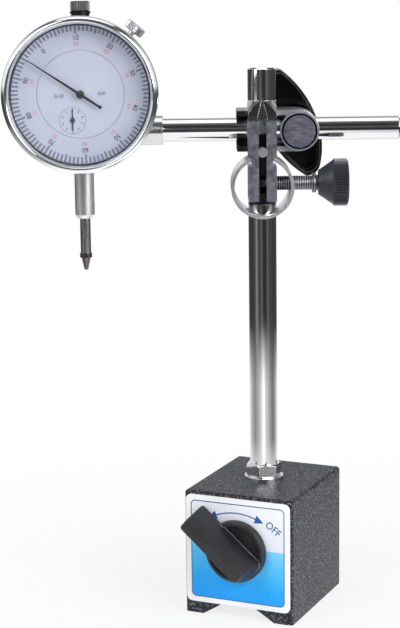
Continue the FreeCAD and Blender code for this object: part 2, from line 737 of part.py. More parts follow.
def wing_knob():
    """A hollow moulding, open towards the clamp, with a boss round its brass insert."""
    edge_y = WING_FRONT + WING_T - WING_EDGE
    body = Part.Face(wing_wire(0, WING_FRONT)).extrude(Vector(0, WING_T - WING_EDGE, 0))
    rounded = Part.makeLoft([wing_wire(0, edge_y), wing_wire(WING_EDGE, WING_FRONT + WING_T)], True, True)
    hollow = Part.Face(wing_wire(WING_WALL, WING_FRONT)).extrude(Vector(0, WING_ROOM, 0))
    boss = rod(WING_BOSS_R, WING_ROOM, (BOLT_X, WING_FRONT, BAR_Z), Y)
    knob = body.fuse(rounded).cut(hollow).fuse(boss)
    insert = hexagon(INSERT_AF, INSERT_L, (BOLT_X, WING_FRONT, BAR_Z), Y)
    stud_room = rod(CLAMP_STUD_R + SLIDE_GAP, WING_ROOM, (BOLT_X, WING_FRONT, BAR_Z), Y)
    return knob.cut(insert).cut(stud_room)


def wing_insert():
    nut = hexagon(INSERT_AF, INSERT_L, (BOLT_X, WING_FRONT, BAR_Z), Y)
    return nut.cut(rod(CLAMP_STUD_R + THREAD_PLAY, INSERT_L, (BOLT_X, WING_FRONT, BAR_Z), Y))


def cross_bar():
    bar = rod(BAR_R, BAR_RIGHT - BAR_LEFT, (BAR_LEFT, BAR_Y, BAR_Z), X)
    return bar.makeChamfer(BAR_CHAMFER, [e for e in bar.Edges if e.BoundBox.XLength < NEAR])


# ---------------------------------------------------------------- gauge holder
def link_plate():
    """A flat link from the bar to the gauge's lug, round at both ends."""
    low = (BAR_Y, BAR_Z)
    high = (LUG_Y, GAUGE_Z)
    run = math.hypot(high[0] - low[0], high[1] - low[1])
    direction = math.atan2(high[1] - low[1], high[0] - low[0])
    lean = math.acos((SLEEVE_R - LINK_END_R) / run)
    corners = []
    for centre, radius, side in ((low, SLEEVE_R, 1), (high, LINK_END_R, 1),
                                 (high, LINK_END_R, -1), (low, SLEEVE_R, -1)):
        angle = direction + side * lean
        corners.append((LINK_LEFT, centre[0] + radius * math.cos(angle),
                        centre[1] + radius * math.sin(angle)))
    plate = prism(corners, Vector(LINK_T, 0, 0))
    for centre, radius in ((low, SLEEVE_R), (high, LINK_END_R)):
        plate = plate.fuse(rod(radius, LINK_T, (LINK_LEFT, centre[0], centre[1]), X))
    return plate


def holder_link():
    """The link with its sleeve, which grips the bar by the pinch screw."""
    sleeve = rod(SLEEVE_R, SLEEVE_L, (LINK_LEFT, BAR_Y, BAR_Z), X)
    nose = rod(NOSE_R, NOSE_L, (LINK_LEFT + SLEEVE_L, BAR_Y, BAR_Z), X)
    holder = link_plate().fuse(sleeve).fuse(nose)
    length = SLEEVE_L + NOSE_L
    holder = holder.cut(rod(BAR_R + RUN, length, (LINK_LEFT, BAR_Y, BAR_Z), X))
    holder = holder.cut(rod(LUG_BOLT_R + THREAD_PLAY, LINK_T, (LINK_LEFT, LUG_Y, GAUGE_Z), X))
    pinch_x = LINK_LEFT + SLEEVE_L - PINCH_X
    return holder.cut(rod(PINCH_R + THREAD_PLAY, SLEEVE_R, (pinch_x, BAR_Y, BAR_Z), Y))


def pinch_screw():
    """The thumbscrew that holds the sleeve on the bar."""
    pinch_x = LINK_LEFT + SLEEVE_L - PINCH_X
    start = BAR_Y + BAR_R + SEAT_PLAY
    shank = rod(PINCH_R, SLEEVE_R - BAR_R + PINCH_NECK, (pinch_x, start, BAR_Z), Y)
    head_y = start + SLEEVE_R - BAR_R + PINCH_NECK
    head = rod(PINCH_HEAD_R, PINCH_HEAD_T, (pinch_x, head_y, BAR_Z), Y)
    rims = [e for e in head.Edges if e.BoundBox.YLength < NEAR]
    return shank.fuse(head.makeChamfer(PINCH_CHAMFER, rims))


def lug_bolt():
    """A hexagon bolt through the gauge's lug and the link."""
    left = GAUGE_X - LUG_T / 2 - LINK_GAP
    right = LINK_LEFT + LINK_T + LUG_NUT_T + LUG_BOLT_PROUD
    head = hexagon(LUG_HEAD_AF, LUG_HEAD_T, (left - LUG_HEAD_T, LUG_Y, GAUGE_Z), X)
    return head.fuse(rod(LUG_BOLT_R, right - left, (left, LUG_Y, GAUGE_Z), X))


def lug_nut():
    start = (LINK_LEFT + LINK_T, LUG_Y, GAUGE_Z)
    return tube(LUG_NUT_R, LUG_BOLT_R + THREAD_PLAY, LUG_NUT_T, start, X)


# ---------------------------------------------------------------- gauge housing
def gauge_case():
    """A ring-shaped case with a web across it, which carries the movement on both sides."""
    centre = (GAUGE_X, GAUGE_Z)
    inner = CASE_R - CASE_WALL
    front_inner = NECK_R - CASE_WALL / 2
    outline = [(0, WEB_REAR), (inner, WEB_REAR), (inner, COVER_FRONT), (CASE_R, COVER_FRONT),
               (CASE_R, NECK_REAR), (NECK_R, NECK_REAR), (NECK_R, NECK_FRONT),
               (front_inner, NECK_FRONT), (front_inner, WEB_FRONT), (0, WEB_FRONT)]
    case = spun(outline, centre)
    stem_hole = rod(STEM_SPIGOT_R, CASE_R, on_gauge(0, SPINDLE_Y, -CASE_R - CUT), Z)
    top_hole = rod(BUSH_R, CASE_R, on_gauge(0, SPINDLE_Y, CUT), Z)
    case = case.cut(stem_hole.common(rear_pocket_wall())).cut(top_hole.common(rear_pocket_wall()))
    for x, z in ((0, 0), (PINION_X, PINION_Z), (-PINION_X, -PINION_Z)):
        case = case.cut(rod(ARBOR_R + PIVOT_RUN, WEB_T, on_gauge(x, WEB_FRONT, z), Y))
    x, z = polar(CASE_R - LOCK_SEAT - LOCK_END_GAP, LOCK_ANGLE)
    lock_hole = rod(LOCK_SHANK_R + THREAD_PLAY, LOCK_SEAT + CUT, on_gauge(x, lock_y(), z), lock_way())
    case = case.cut(lock_hole)
    for screw in cover_screw_places():
        hole_start = (screw[0], COVER_FRONT - COVER_SCREW_L, screw[1])
        case = case.cut(rod(COVER_SCREW_R, COVER_SCREW_L, hole_start, Y))
    return case


def rear_pocket_wall():
    """The region of the case's side wall behind the web."""
    length = COVER_FRONT - WEB_REAR
    return tube(CASE_R, CASE_R - CASE_WALL, length, on_gauge(0, WEB_REAR, 0), Y)


def lock_y():
    return NECK_REAR + LOCK_R + LOCK_BEHIND


def lock_way():
    x, z = polar(1.0, LOCK_ANGLE)
    return Vector(x, 0, z)


def cover_screw_places():
    """(x, z) of the back cover's screws."""
    places = []
    for quarter in range(4):
        x, z = polar(CASE_R - COVER_SCREW_IN, 45 + 90 * quarter)
        places.append((GAUGE_X + x, GAUGE_Z + z))
    return places


def back_cover():
    """The round cover with the lug by which the gauge is held."""
    cover = rod(CASE_R, COVER_T, on_gauge(0, COVER_FRONT, 0), Y)
    edge = [e for e in cover.Edges if e.BoundBox.YMin > GAUGE_BACK - NEAR]
    cover = cover.makeChamfer(COVER_CHAMFER, edge)
    half = LUG_T / 2
    tongue = block(on_gauge(-half, GAUGE_BACK - LUG_ROOT, -LUG_R), on_gauge(half, LUG_Y, LUG_R))
    tongue = tongue.fuse(rod(LUG_R, LUG_T, on_gauge(-half, LUG_Y, 0), X))
    cover = cover.fuse(tongue)
    cover = cover.cut(rod(LUG_HOLE_R, LUG_T, on_gauge(-half, LUG_Y, 0), X))
    for screw in cover_screw_places():
        hole_r = COVER_SCREW_R + COVER_SCREW_SPARE
        cover = cover.cut(rod(hole_r, COVER_T, (screw[0], COVER_FRONT, screw[1]), Y))
    return cover


def cover_screws():
    """Four pan-head screws, one solid each."""
    screws = []
    for x, z in cover_screw_places():
        shank_y = COVER_FRONT - COVER_SCREW_L + COVER_SCREW_END
        shank = rod(COVER_SCREW_R, GAUGE_BACK - shank_y, (x, shank_y, z), Y)
        head = rod(COVER_SCREW_HEAD_R, COVER_SCREW_HEAD_T, (x, GAUGE_BACK, z), Y)
        screws.append(shank.fuse(head).removeSplitter())
    return Part.makeCompound(screws)


def stem():
    """The mounting stem, pressed into the bottom of the case."""
    top = STEM_OUT + STEM_SEAT
    outline = [(BUSH_R, 0), (STEM_R - STEM_CHAMFER, 0), (STEM_R, STEM_CHAMFER_L),
               (STEM_R, STEM_OUT), (STEM_SPIGOT_R, STEM_OUT), (STEM_SPIGOT_R, top), (BUSH_R, top)]
    return turned(outline, (GAUGE_X, SPINDLE_Y, STEM_LOW), Z)


def guide_bushes():
    """The two bronze sleeves in the stem that guide the spindle."""
    top = GAUGE_Z - CASE_R + STEM_SEAT
    places = (STEM_LOW, top - BUSH_L)
    inner = SPINDLE_R + PIVOT_RUN
    return Part.makeCompound([tube(BUSH_R, inner, BUSH_L, (GAUGE_X, SPINDLE_Y, z), Z) for z in places])


def top_bush():
    """The sleeve in the top of the case: spindle guide inside, seat of the dust cap outside."""
    bore_r = SPINDLE_R + PIVOT_RUN
    case_top = GAUGE_Z + CASE_R
    low = case_top - CASE_WALL - TOP_BUSH_INSIDE
    high = CAP_LOW + TOP_BUSH_IN_CAP
    ledge_low = CAP_LOW - TOP_BUSH_LEDGE
    outline = [(bore_r, low), (BUSH_R, low), (BUSH_R, case_top), (TOP_BUSH_R, case_top),
               (TOP_BUSH_R, ledge_low), (TOP_BUSH_LEDGE_R, ledge_low), (TOP_BUSH_LEDGE_R, CAP_LOW),
               (BUSH_R, CAP_LOW), (BUSH_R, high), (bore_r, high)]
    return turned(outline, (GAUGE_X, SPINDLE_Y, 0), Z)


def dust_cap():
    """The knurled cap over the spindle's upper end."""
    cap = rod(DUST_CAP_R, DUST_CAP_TOP - CAP_LOW, (GAUGE_X, SPINDLE_Y, CAP_LOW), Z)
    rim = [e for e in cap.Edges if e.BoundBox.ZMin > DUST_CAP_TOP - NEAR]
    cap = cap.makeChamfer(DUST_CAP_CHAMFER, rim)
    room = DUST_CAP_TOP - CAP_LOW - DUST_CAP_WALL
    return cap.cut(rod(BUSH_R + THREAD_PLAY, room, (GAUGE_X, SPINDLE_Y, CAP_LOW), Z))


# ---------------------------------------------------------------- bezel and dial
def bezel():
    """The turning rim: skirt on the case's neck, ledge under the dial, lip round the crystal."""
    skirt_r = NECK_R + BEZEL_RUN
    rear_r = BEZEL_R - BEZEL_REAR_STEP
    slope_y = BEZEL_BACK - BEZEL_REAR_L
    front = BEZEL_BACK - BEZEL_L
    roll = [(BEZEL_R - inwards, front + back) for inwards, back in BEZEL_ROLL]
    outline = [(skirt_r, BEZEL_BACK), (rear_r, BEZEL_BACK), (rear_r, slope_y),
               (BEZEL_R, slope_y - BEZEL_SLOPE), *roll, (SIGHT_R + BEZEL_LIP, front),
               (SIGHT_R, front + BEZEL_LIP_SLOPE), (SIGHT_R, DIAL_BACK), (skirt_r, DIAL_BACK)]
    return spun(outline, (GAUGE_X, GAUGE_Z))


def dial_ring():
    """The graduated ring that turns with the bezel."""
    inner = DIAL_SPLIT_R + DIAL_SPLIT_GAP
    return tube(SIGHT_R - SEAT_PLAY, inner, DIAL_T, on_gauge(0, DIAL_FACE, 0), Y)


def dial_center():
    """The fixed inner disc with the turn counter, seated on the front bridge."""
    thickness = NECK_FRONT - DIAL_FACE
    disc = rod(DIAL_SPLIT_R, thickness, on_gauge(0, DIAL_FACE, 0), Y)
    hole_r = ARBOR_R + DIAL_HOLE_SPARE
    disc = disc.cut(rod(hole_r, thickness, on_gauge(0, DIAL_FACE, 0), Y))
    return disc.cut(rod(hole_r, thickness, on_gauge(PINION_X, DIAL_FACE, PINION_Z), Y))


def dial_spacer():
    """The thin wall that holds the dial ring down and the crystal up."""
    outer = SIGHT_R - SEAT_PLAY
    return tube(outer, outer - SPACER_T, CRYSTAL_UP, on_gauge(0, DIAL_FACE - CRYSTAL_UP, 0), Y)


def crystal():
    """The slightly domed window."""
    seat = DIAL_FACE - CRYSTAL_UP
    rim_y = seat - CRYSTAL_T
    top_y = rim_y - CRYSTAL_DOME
    outer = SIGHT_R - SEAT_PLAY
    dome_r = (outer ** 2 + CRYSTAL_DOME ** 2) / (2 * CRYSTAL_DOME)
    half_way_y = top_y + dome_r - math.sqrt(dome_r ** 2 - (outer / 2) ** 2)
    axis = Vector(*on_gauge(0, top_y, 0))
    axis_seat = Vector(*on_gauge(0, seat, 0))
    rim_seat = Vector(*on_gauge(outer, seat, 0))
    rim = Vector(*on_gauge(outer, rim_y, 0))
    dome = Part.Arc(rim, Vector(*on_gauge(outer / 2, half_way_y, 0)), axis)
    edges = [Part.LineSegment(axis, axis_seat), Part.LineSegment(axis_seat, rim_seat),
             Part.LineSegment(rim_seat, rim), dome]
    return face_of([edge.toShape() for edge in edges]).revolve(axis, Y, 360)


def bezel_lock():
    """The small knurled screw that keeps the bezel from turning."""
    inner = CASE_R - LOCK_SEAT
    start = polar(inner, LOCK_ANGLE)
    shank = rod(LOCK_SHANK_R, LOCK_OUT - inner, on_gauge(start[0], lock_y(), start[1]), lock_way())
    head_at = polar(LOCK_OUT, LOCK_ANGLE)
    head = rod(LOCK_R, LOCK_T, on_gauge(head_at[0], lock_y(), head_at[1]), lock_way())
    return shank.fuse(head)


# ---------------------------------------------------------------- movement
def bridge(y_front, thickness, arbors):
    """A plate across the movement, drilled for its arbors."""
    disc = rod(BRIDGE_R, thickness, on_gauge(0, y_front, 0), Y)
    for x, z in arbors:
        disc = disc.cut(rod(ARBOR_R + PIVOT_RUN, thickness, on_gauge(x, y_front, z), Y))
    return disc


def front_bridge():
    arbors = ((0, 0), (PINION_X, PINION_Z), (-PINION_X, -PINION_Z))
    return bridge(BRIDGE_FRONT, BRIDGE_T, arbors)


def rear_bridge():
    """The rear plate, slotted for the pin that keeps the spindle from turning."""
    plate = bridge(REAR_BRIDGE_FRONT, BRIDGE_T, ((PINION_X, PINION_Z),))
    half = GUIDE_SLOT / 2
    low = GUIDE_PIN_Z - half - GUIDE_SLOT_SPARE
    high = GUIDE_PIN_Z + TRAVEL + half + GUIDE_SLOT_SPARE
    slot = block((GAUGE_X - half, REAR_BRIDGE_FRONT, low), (GAUGE_X + half, REAR_BRIDGE_BACK, high))
    return plate.cut(slot)


def bridge_pillars():
    """Posts from the case's web to both bridges, one solid each."""
    posts = []
    for angle in PILLAR_ANGLES:
        x, z = polar(BRIDGE_R - PILLAR_IN, 90.0 - angle)
        front_l = WEB_FRONT - FRONT_BRIDGE_BACK
        posts.append(rod(PILLAR_R, front_l, on_gauge(x, FRONT_BRIDGE_BACK, z), Y))
        rear_l = REAR_BRIDGE_FRONT - WEB_REAR
        posts.append(rod(PILLAR_R, rear_l, on_gauge(x, WEB_REAR, z), Y))
    return Part.makeCompound(posts)


def wheel_heading():
    """Direction from the dial's centre to the counter wheel, degrees from +x towards +z."""
    return math.degrees(math.atan2(PINION_Z, PINION_X))


def center_pinion():
    """The ten-leaf pinion and its arbor, which carries the main pointer."""
    front = FRONT_BRIDGE_BACK
    back = WEB_FRONT - PINION_RUN
    leaves = gear(CENTER_TEETH, FINE_MODULE, back - PINION_RUN - front, (GAUGE_X, GAUGE_Z), back,
                  wheel_heading())
    arbor_l = WEB_REAR - 2 * PINION_RUN - MAIN_POINTER_Y
    return leaves.fuse(rod(ARBOR_R, arbor_l, on_gauge(0, MAIN_POINTER_Y, 0), Y))


def train_wheel(x, z, heading):
    """A hundred-tooth wheel, one of its gaps facing the centre pinion."""
    pitch = 360.0 / WHEEL_TEETH
    return gear(WHEEL_TEETH, FINE_MODULE, WHEEL_T, (GAUGE_X + x, GAUGE_Z + z), WHEEL_BACK,
                heading + 180.0 + pitch / 2)


def counter_wheel():
    wheel = train_wheel(PINION_X, PINION_Z, wheel_heading())
    return wheel.cut(rod(ARBOR_R, WHEEL_T, on_gauge(PINION_X, WHEEL_BACK - WHEEL_T, PINION_Z), Y))


def rack_pinion():
    """The pinion driven by the rack, cut on the counter arbor."""
    width = 2 * SPINDLE_R - RACK_PINION_SHORT
    leaves = gear(PINION_TEETH, RACK_MODULE, width, (GAUGE_X + PINION_X, GAUGE_Z + PINION_Z),
                  SPINDLE_Y + width / 2, 0.0)
    arbor_l = REAR_BRIDGE_BACK - SMALL_POINTER_Y
    return leaves.fuse(rod(ARBOR_R, arbor_l, on_gauge(PINION_X, SMALL_POINTER_Y, PINION_Z), Y))


def take_up_wheel():
    """The wheel that loads the train with the hairspring, so that no backlash shows."""
    wheel = train_wheel(-PINION_X, -PINION_Z, wheel_heading() + 180.0)
    length = WEB_REAR - BRIDGE_FRONT
    arbor = rod(ARBOR_R, length, on_gauge(-PINION_X, BRIDGE_FRONT, -PINION_Z), Y)
    return wheel.fuse(arbor)


def hairspring():
    """A flat spiral of half-turn arcs, from the arbor outwards."""
    front = WHEEL_BACK - WHEEL_T - HAIR_RUN - HAIR_W
    centre = Vector(*on_gauge(-PINION_X, front, -PINION_Z))

    def spiral(offset):
        edges = []
        radius = HAIR_IN + offset
        side = 1
        middle = Vector(centre)
        for _ in range(2 * HAIR_TURNS):
            start = middle + X * (side * radius)
            top = middle + Z * (side * radius)
            end = middle - X * (side * radius)
            edges.append(Part.Arc(start, top, end).toShape())
            grow = HAIR_STEP / 2
            middle = middle + X * (side * grow / 2)
            radius += grow / 2
            side = -side
        return edges

    outer = spiral(HAIR_T)
    inner = spiral(0.0)
    first = Part.LineSegment(inner[0].valueAt(inner[0].FirstParameter),
                             outer[0].valueAt(outer[0].FirstParameter)).toShape()
    last = Part.LineSegment(inner[-1].valueAt(inner[-1].LastParameter),
                            outer[-1].valueAt(outer[-1].LastParameter)).toShape()
    edges = Part.__sortEdges__(outer + inner + [first, last])
    return face_of(edges).extrude(Vector(0, HAIR_W, 0))


# ---------------------------------------------------------------- spindle
def spindle():
    """The measuring spindle with its rack cut in the left side."""
    length = SPINDLE_TOP - COLLAR_TOP
    shaft = rod(SPINDLE_R, length, (GAUGE_X, SPINDLE_Y, COLLAR_TOP), Z)
    shaft = shaft.cut(rod(POINT_SHANK_R + THREAD_PLAY, POINT_SHANK_L, (GAUGE_X, SPINDLE_Y, COLLAR_TOP), Z))
    pin_hole = rod(GUIDE_PIN_R, SPINDLE_R + 1, (GAUGE_X, SPINDLE_Y, GUIDE_PIN_Z), Y)
    shaft = shaft.cut(pin_hole)
    tip_x = GAUGE_X - RACK_LINE - TOOTH_OUT * RACK_MODULE
    root_x = GAUGE_X - RACK_LINE + TOOTH_IN * RACK_MODULE
    pinion_z = GAUGE_Z + PINION_Z
    rack_high = pinion_z + RACK_OVER * RACK_PITCH
    rack_low = rack_high - RACK_TEETH * RACK_PITCH
    flat = block((GAUGE_X - 2 * SPINDLE_R, SPINDLE_Y - SPINDLE_R, rack_low),
                 (tip_x, SPINDLE_Y + SPINDLE_R, rack_high))
    shaft = shaft.cut(flat)
    gap_tip = RACK_PITCH * (0.5 - TOOTH_TIP)
    gap_root = RACK_PITCH * (0.5 - TOOTH_FOOT)
    grooves = []
    for i in range(RACK_TEETH):
        z = pinion_z + (RACK_OVER - 1 - i) * RACK_PITCH
        outline = ((tip_x - RACK_MODULE, -gap_tip), (tip_x, -gap_tip), (root_x, -gap_root),
                   (root_x, gap_root), (tip_x, gap_tip), (tip_x - RACK_MODULE, gap_tip))
        corners = [(x, SPINDLE_Y - SPINDLE_R, z + dz) for x, dz in outline]
        grooves.append(prism(corners, Vector(0, 2 * SPINDLE_R, 0)))
    return shaft.cut(Part.makeCompound(grooves))


def contact_point():
    """The screwed-in measuring tip: collar, cone and a small ball."""
    collar_low = COLLAR_TOP - COLLAR_L
    ball_z = TIP_LOW + TIP_R
    collar = rod(COLLAR_R, COLLAR_L, (GAUGE_X, SPINDLE_Y, collar_low), Z)
    cone = Part.makeCone(TIP_R, POINT_CONE_R, collar_low - ball_z, Vector(GAUGE_X, SPINDLE_Y, ball_z), Z)
    ball = Part.makeSphere(TIP_R, Vector(GAUGE_X, SPINDLE_Y, ball_z))
    shank = rod(POINT_SHANK_R, POINT_SHANK_L - POINT_END_GAP, (GAUGE_X, SPINDLE_Y, COLLAR_TOP), Z)
    return collar.fuse(cone).fuse(ball).fuse(shank)


def guide_pin():
    """The cross pin that runs in the rear bridge's slot."""
    length = REAR_BRIDGE_BACK - SPINDLE_Y
    return rod(GUIDE_PIN_R, length, (GAUGE_X, SPINDLE_Y, GUIDE_PIN_Z), Y)


def return_spring():
    """A close-wound extension spring beside the spindle, kept as its plain sleeve."""
    low = GAUGE_Z - CASE_R + CASE_WALL + CUT
    x = GAUGE_X + SPINDLE_R + COIL_R + SLIDE_GAP
    return tube(COIL_R, COIL_R - COIL_WIRE, COIL_L, (x, SPINDLE_Y, low), Z)


# ---------------------------------------------------------------- pointers
def main_pointer():
    """A tapered hand with a round counterweight on its tail."""
    y = MAIN_POINTER_Y
    front = y + POINTER_T
    half_root = MAIN_ROOT_W / 2
    half_tip = MAIN_TIP_W / 2
    blade = prism([(-half_root, y, 0), (-half_tip, y, MAIN_TIP), (half_tip, y, MAIN_TIP),
                   (half_root, y, 0), (half_tip, y, -MAIN_TAIL), (-half_tip, y, -MAIN_TAIL)],
                  Vector(0, POINTER_T, 0))
    bulb = rod(MAIN_BULB_R, POINTER_T, (0, y, -MAIN_TAIL + MAIN_BULB_R), Y)
    hub = rod(HUB_R, HUB_T, (0, front - HUB_T, 0), Y)
    hand = blade.fuse(bulb).fuse(hub)
    hand = hand.cut(rod(ARBOR_R, HUB_T, (0, y, 0), Y))
    hand.rotate(Vector(0, 0, 0), Y, -MAIN_ANGLE)
    hand.translate(Vector(GAUGE_X, 0, GAUGE_Z))
    return hand


def small_pointer():
    """A short tapered hand for the turn counter."""
    y = SMALL_POINTER_Y
    half = SMALL_W / 2
    tip = SMALL_TIP_W / 2
    blade = prism([(-half, y, 0), (-tip, y, SMALL_TIP), (tip, y, SMALL_TIP), (half, y, 0),
                   (half, y, -SMALL_TAIL), (-half, y, -SMALL_TAIL)], Vector(0, POINTER_T, 0))
    hand = blade.fuse(rod(SMALL_HUB_R, SMALL_HUB_T, (0, y, 0), Y))
    hand = hand.cut(rod(ARBOR_R, SMALL_HUB_T, (0, y, 0), Y))
    hand.translate(Vector(GAUGE_X + PINION_X, 0, GAUGE_Z + PINION_Z))
    return hand


# ---------------------------------------------------------------- the whole object
def build():
    os.makedirs("parts", exist_ok=True)
    base_pieces()
    save("label_plate", label_plate())
    save("front_bush", bore_plug(-BASE_D / 2, SHAFT_R + RUN))
    save("rear_plug", rear_plug())
    save("switch_shaft", switch_shaft())
    save("rotor_magnet", rotor_magnet())
    save("rotor_shoes", rotor_shoes())
    save("switch_knob", switch_knob())
    arm_pieces = (lower_column, column_washer, lock_nut, tilt_post, pivot_pin, spring_ring,
                  fine_screw, fine_screw_head, clamp_shell, eye_bolt, wing_knob, wing_insert,
                  cross_bar, holder_link, pinch_screw, lug_bolt, lug_nut, gauge_case, back_cover,
                  cover_screws, stem, guide_bushes, top_bush, dust_cap, bezel, dial_ring,
                  dial_center, dial_spacer, crystal, bezel_lock, front_bridge, rear_bridge,
                  bridge_pillars, center_pinion, counter_wheel, rack_pinion, take_up_wheel,
                  hairspring, spindle, contact_point, guide_pin, return_spring, main_pointer,
                  small_pointer)
    for piece in arm_pieces:
        save_arm(piece.__name__, piece())


build()
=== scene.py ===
"""Looks for the dial indicator on its magnetic stand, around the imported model."""
import json
import math

import bmesh
import bpy
from mathutils import Matrix, Vector


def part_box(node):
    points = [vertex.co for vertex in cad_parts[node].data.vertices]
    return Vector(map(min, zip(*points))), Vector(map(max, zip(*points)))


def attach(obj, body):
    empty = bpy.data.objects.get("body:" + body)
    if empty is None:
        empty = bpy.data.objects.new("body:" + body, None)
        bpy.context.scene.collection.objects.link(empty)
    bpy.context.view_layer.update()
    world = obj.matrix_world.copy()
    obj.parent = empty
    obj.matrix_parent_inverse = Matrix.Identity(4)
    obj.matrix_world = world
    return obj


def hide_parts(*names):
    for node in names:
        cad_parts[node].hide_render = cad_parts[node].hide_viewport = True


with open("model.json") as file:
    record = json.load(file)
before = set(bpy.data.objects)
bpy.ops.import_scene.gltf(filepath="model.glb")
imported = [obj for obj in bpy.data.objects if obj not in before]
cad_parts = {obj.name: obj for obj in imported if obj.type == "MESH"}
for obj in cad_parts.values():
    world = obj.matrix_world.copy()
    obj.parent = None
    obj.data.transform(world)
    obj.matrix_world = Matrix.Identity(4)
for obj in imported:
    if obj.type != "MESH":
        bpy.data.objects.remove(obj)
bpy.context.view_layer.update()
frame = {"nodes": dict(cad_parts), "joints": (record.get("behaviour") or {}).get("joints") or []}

MM = 0.001
NODES = frame["nodes"]
JOINTS = {joint["name"]: joint for joint in frame["joints"]}
UP = Vector((0, 0, 1))


# ------------------------------------------------------------------ frames and places
def joint_at(name):
    return Vector(JOINTS[name]["pos_m"])


def joint_axis(name):
    return Vector(JOINTS[name]["axis"]).normalized()


def reach(node, direction, origin=Vector((0, 0, 0))):
    """How far a CAD node goes along a direction, least and most, in metres."""
    values = [(v.co - origin).dot(direction) for v in NODES[node].data.vertices]
    return min(values), max(values)


FACING = joint_axis("bezel_turn")           # out of the dial
ALONG = joint_axis("bar_slide")             # along the cross bar, to the reader's right
DIAL = joint_at("bezel_turn")
FINE = joint_at("fine_screw_turn")


class Place:
    """A local frame: a point and three directions, with lengths in millimetres."""

    def __init__(self, origin, right, up, out):
        self.origin, self.right, self.up, self.out = origin, right, up, out

    def __call__(self, right, up, out=0.0):
        return self.origin + (self.right * right + self.up * up + self.out * out) * MM

    def matrix(self):
        """Takes local millimetres (right, up, out) to the row frame."""
        turn = Matrix((self.right, self.up, self.out)).transposed().to_4x4()
        return Matrix.Translation(self.origin) @ turn @ Matrix.Scale(MM, 4)


def dial_place(node):
    """The dial's frame, with its zero height on the front of a node."""
    front = reach(node, FACING, DIAL)[1]
    return Place(DIAL + FACING * front, ALONG, UP, FACING)


# ------------------------------------------------------------------ node material helpers
class Nodes:
    """A small builder of node trees."""

    def __init__(self, tree):
        self.tree = tree
        tree.nodes.clear()

    def link(self, source, target):
        self.tree.links.new(source, target)

    def node(self, kind, inputs=None, **properties):
        made = self.tree.nodes.new("ShaderNode" + kind)
        for name, value in properties.items():
            setattr(made, name, value)
        for key, value in (inputs or {}).items():
            if hasattr(value, "links"):
                self.link(value, made.inputs[key])
            else:
                made.inputs[key].default_value = value
        return made

    def coords(self):
        return self.node("TexCoord").outputs["Object"]

    def math(self, operation, first, second=None):
        inputs = {0: first}
        if second is not None:
            inputs[1] = second
        return self.node("Math", inputs, operation=operation).outputs[0]

    def noise(self, scale, detail=4.0, roughness=0.5, coords=None, stretch=None):
        vector = coords or self.coords()
        if stretch:
            vector = self.node("Mapping", {"Vector": vector, "Scale": stretch}).outputs[0]
        return self.node("TexNoise", {"Vector": vector, "Scale": scale, "Detail": detail,
                                      "Roughness": roughness}).outputs[0]

    def span(self, value, low, high, to_low, to_high):
        made = self.node("MapRange", {"Value": value, "From Min": low, "From Max": high,
                                      "To Min": to_low, "To Max": to_high})
        return made.outputs[0]

    def blend(self, factor, first, second):
        made = self.node("Mix", {0: factor, 6: first, 7: second}, data_type="RGBA")
        return made.outputs[2]

    def ramp(self, value, stops):
        made = self.node("ValToRGB", {0: value})
        ramp = made.color_ramp
        while len(ramp.elements) < len(stops):
            ramp.elements.new(0.5)
        for element, (place, colour) in zip(ramp.elements, stops):
            element.position = place
            element.color = colour
        return made.outputs[0]


class Mat(Nodes):
    """A material built on one principled shader."""

    def __init__(self, name, **sockets):
        self.material = bpy.data.materials.new(name)
        self.material.use_nodes = True
        super().__init__(self.material.node_tree)
        self.output = self.node("OutputMaterial")
        self.shader = self.node("BsdfPrincipled")
        self.link(self.shader.outputs[0], self.output.inputs[0])
        for socket, value in sockets.items():
            self.shader.inputs[socket.replace("_", " ")].default_value = value

    def colour(self, value):
        self.link(value, self.shader.inputs["Base Color"])

    def roughness(self, value):
        self.link(value, self.shader.inputs["Roughness"])

    def bump(self, height, distance, strength, edge=0.0):
        """Bump from a height, over softly rounded edges."""
        inputs = {"Height": height, "Distance": distance, "Strength": strength}
        if edge:
            inputs["Normal"] = self.node("Bevel", {"Radius": edge}, samples=4).outputs[0]
        made = self.node("Bump", inputs)
        self.link(made.outputs[0], self.shader.inputs["Normal"])

    def edges(self, radius):
        """1 along the piece's edges, 0 on its faces."""
        round_normal = self.node("Bevel", {"Radius": radius}, samples=6).outputs[0]
        plain = self.node("NewGeometry").outputs["Normal"]
        alike = self.node("VectorMath", {0: round_normal, 1: plain}, operation="DOT_PRODUCT")
        bent = self.math("SUBTRACT", 1.0, alike.outputs["Value"])
        return self.span(bent, 0.02, 0.25, 0.0, 1.0)

    def off_axis(self, point, way):
        """Distance from a line."""
        arm = self.node("VectorMath", {0: self.coords(), 1: point}, operation="SUBTRACT").outputs[0]
        turned = self.node("VectorMath", {0: arm, 1: way}, operation="CROSS_PRODUCT").outputs[0]
        return self.node("VectorMath", {0: turned}, operation="LENGTH").outputs["Value"]

    def along(self, way):
        """Distance along a direction."""
        return self.node("VectorMath", {0: self.coords(), 1: way},
                         operation="DOT_PRODUCT").outputs["Value"]

    def soften(self, edge):
        """Softly rounded edges, without bump."""
        made = self.node("Bevel", {"Radius": edge}, samples=4)
        self.link(made.outputs[0], self.shader.inputs["Normal"])


def grey(value, tint=0.0):
    return (value - tint, value, value + tint, 1.0)


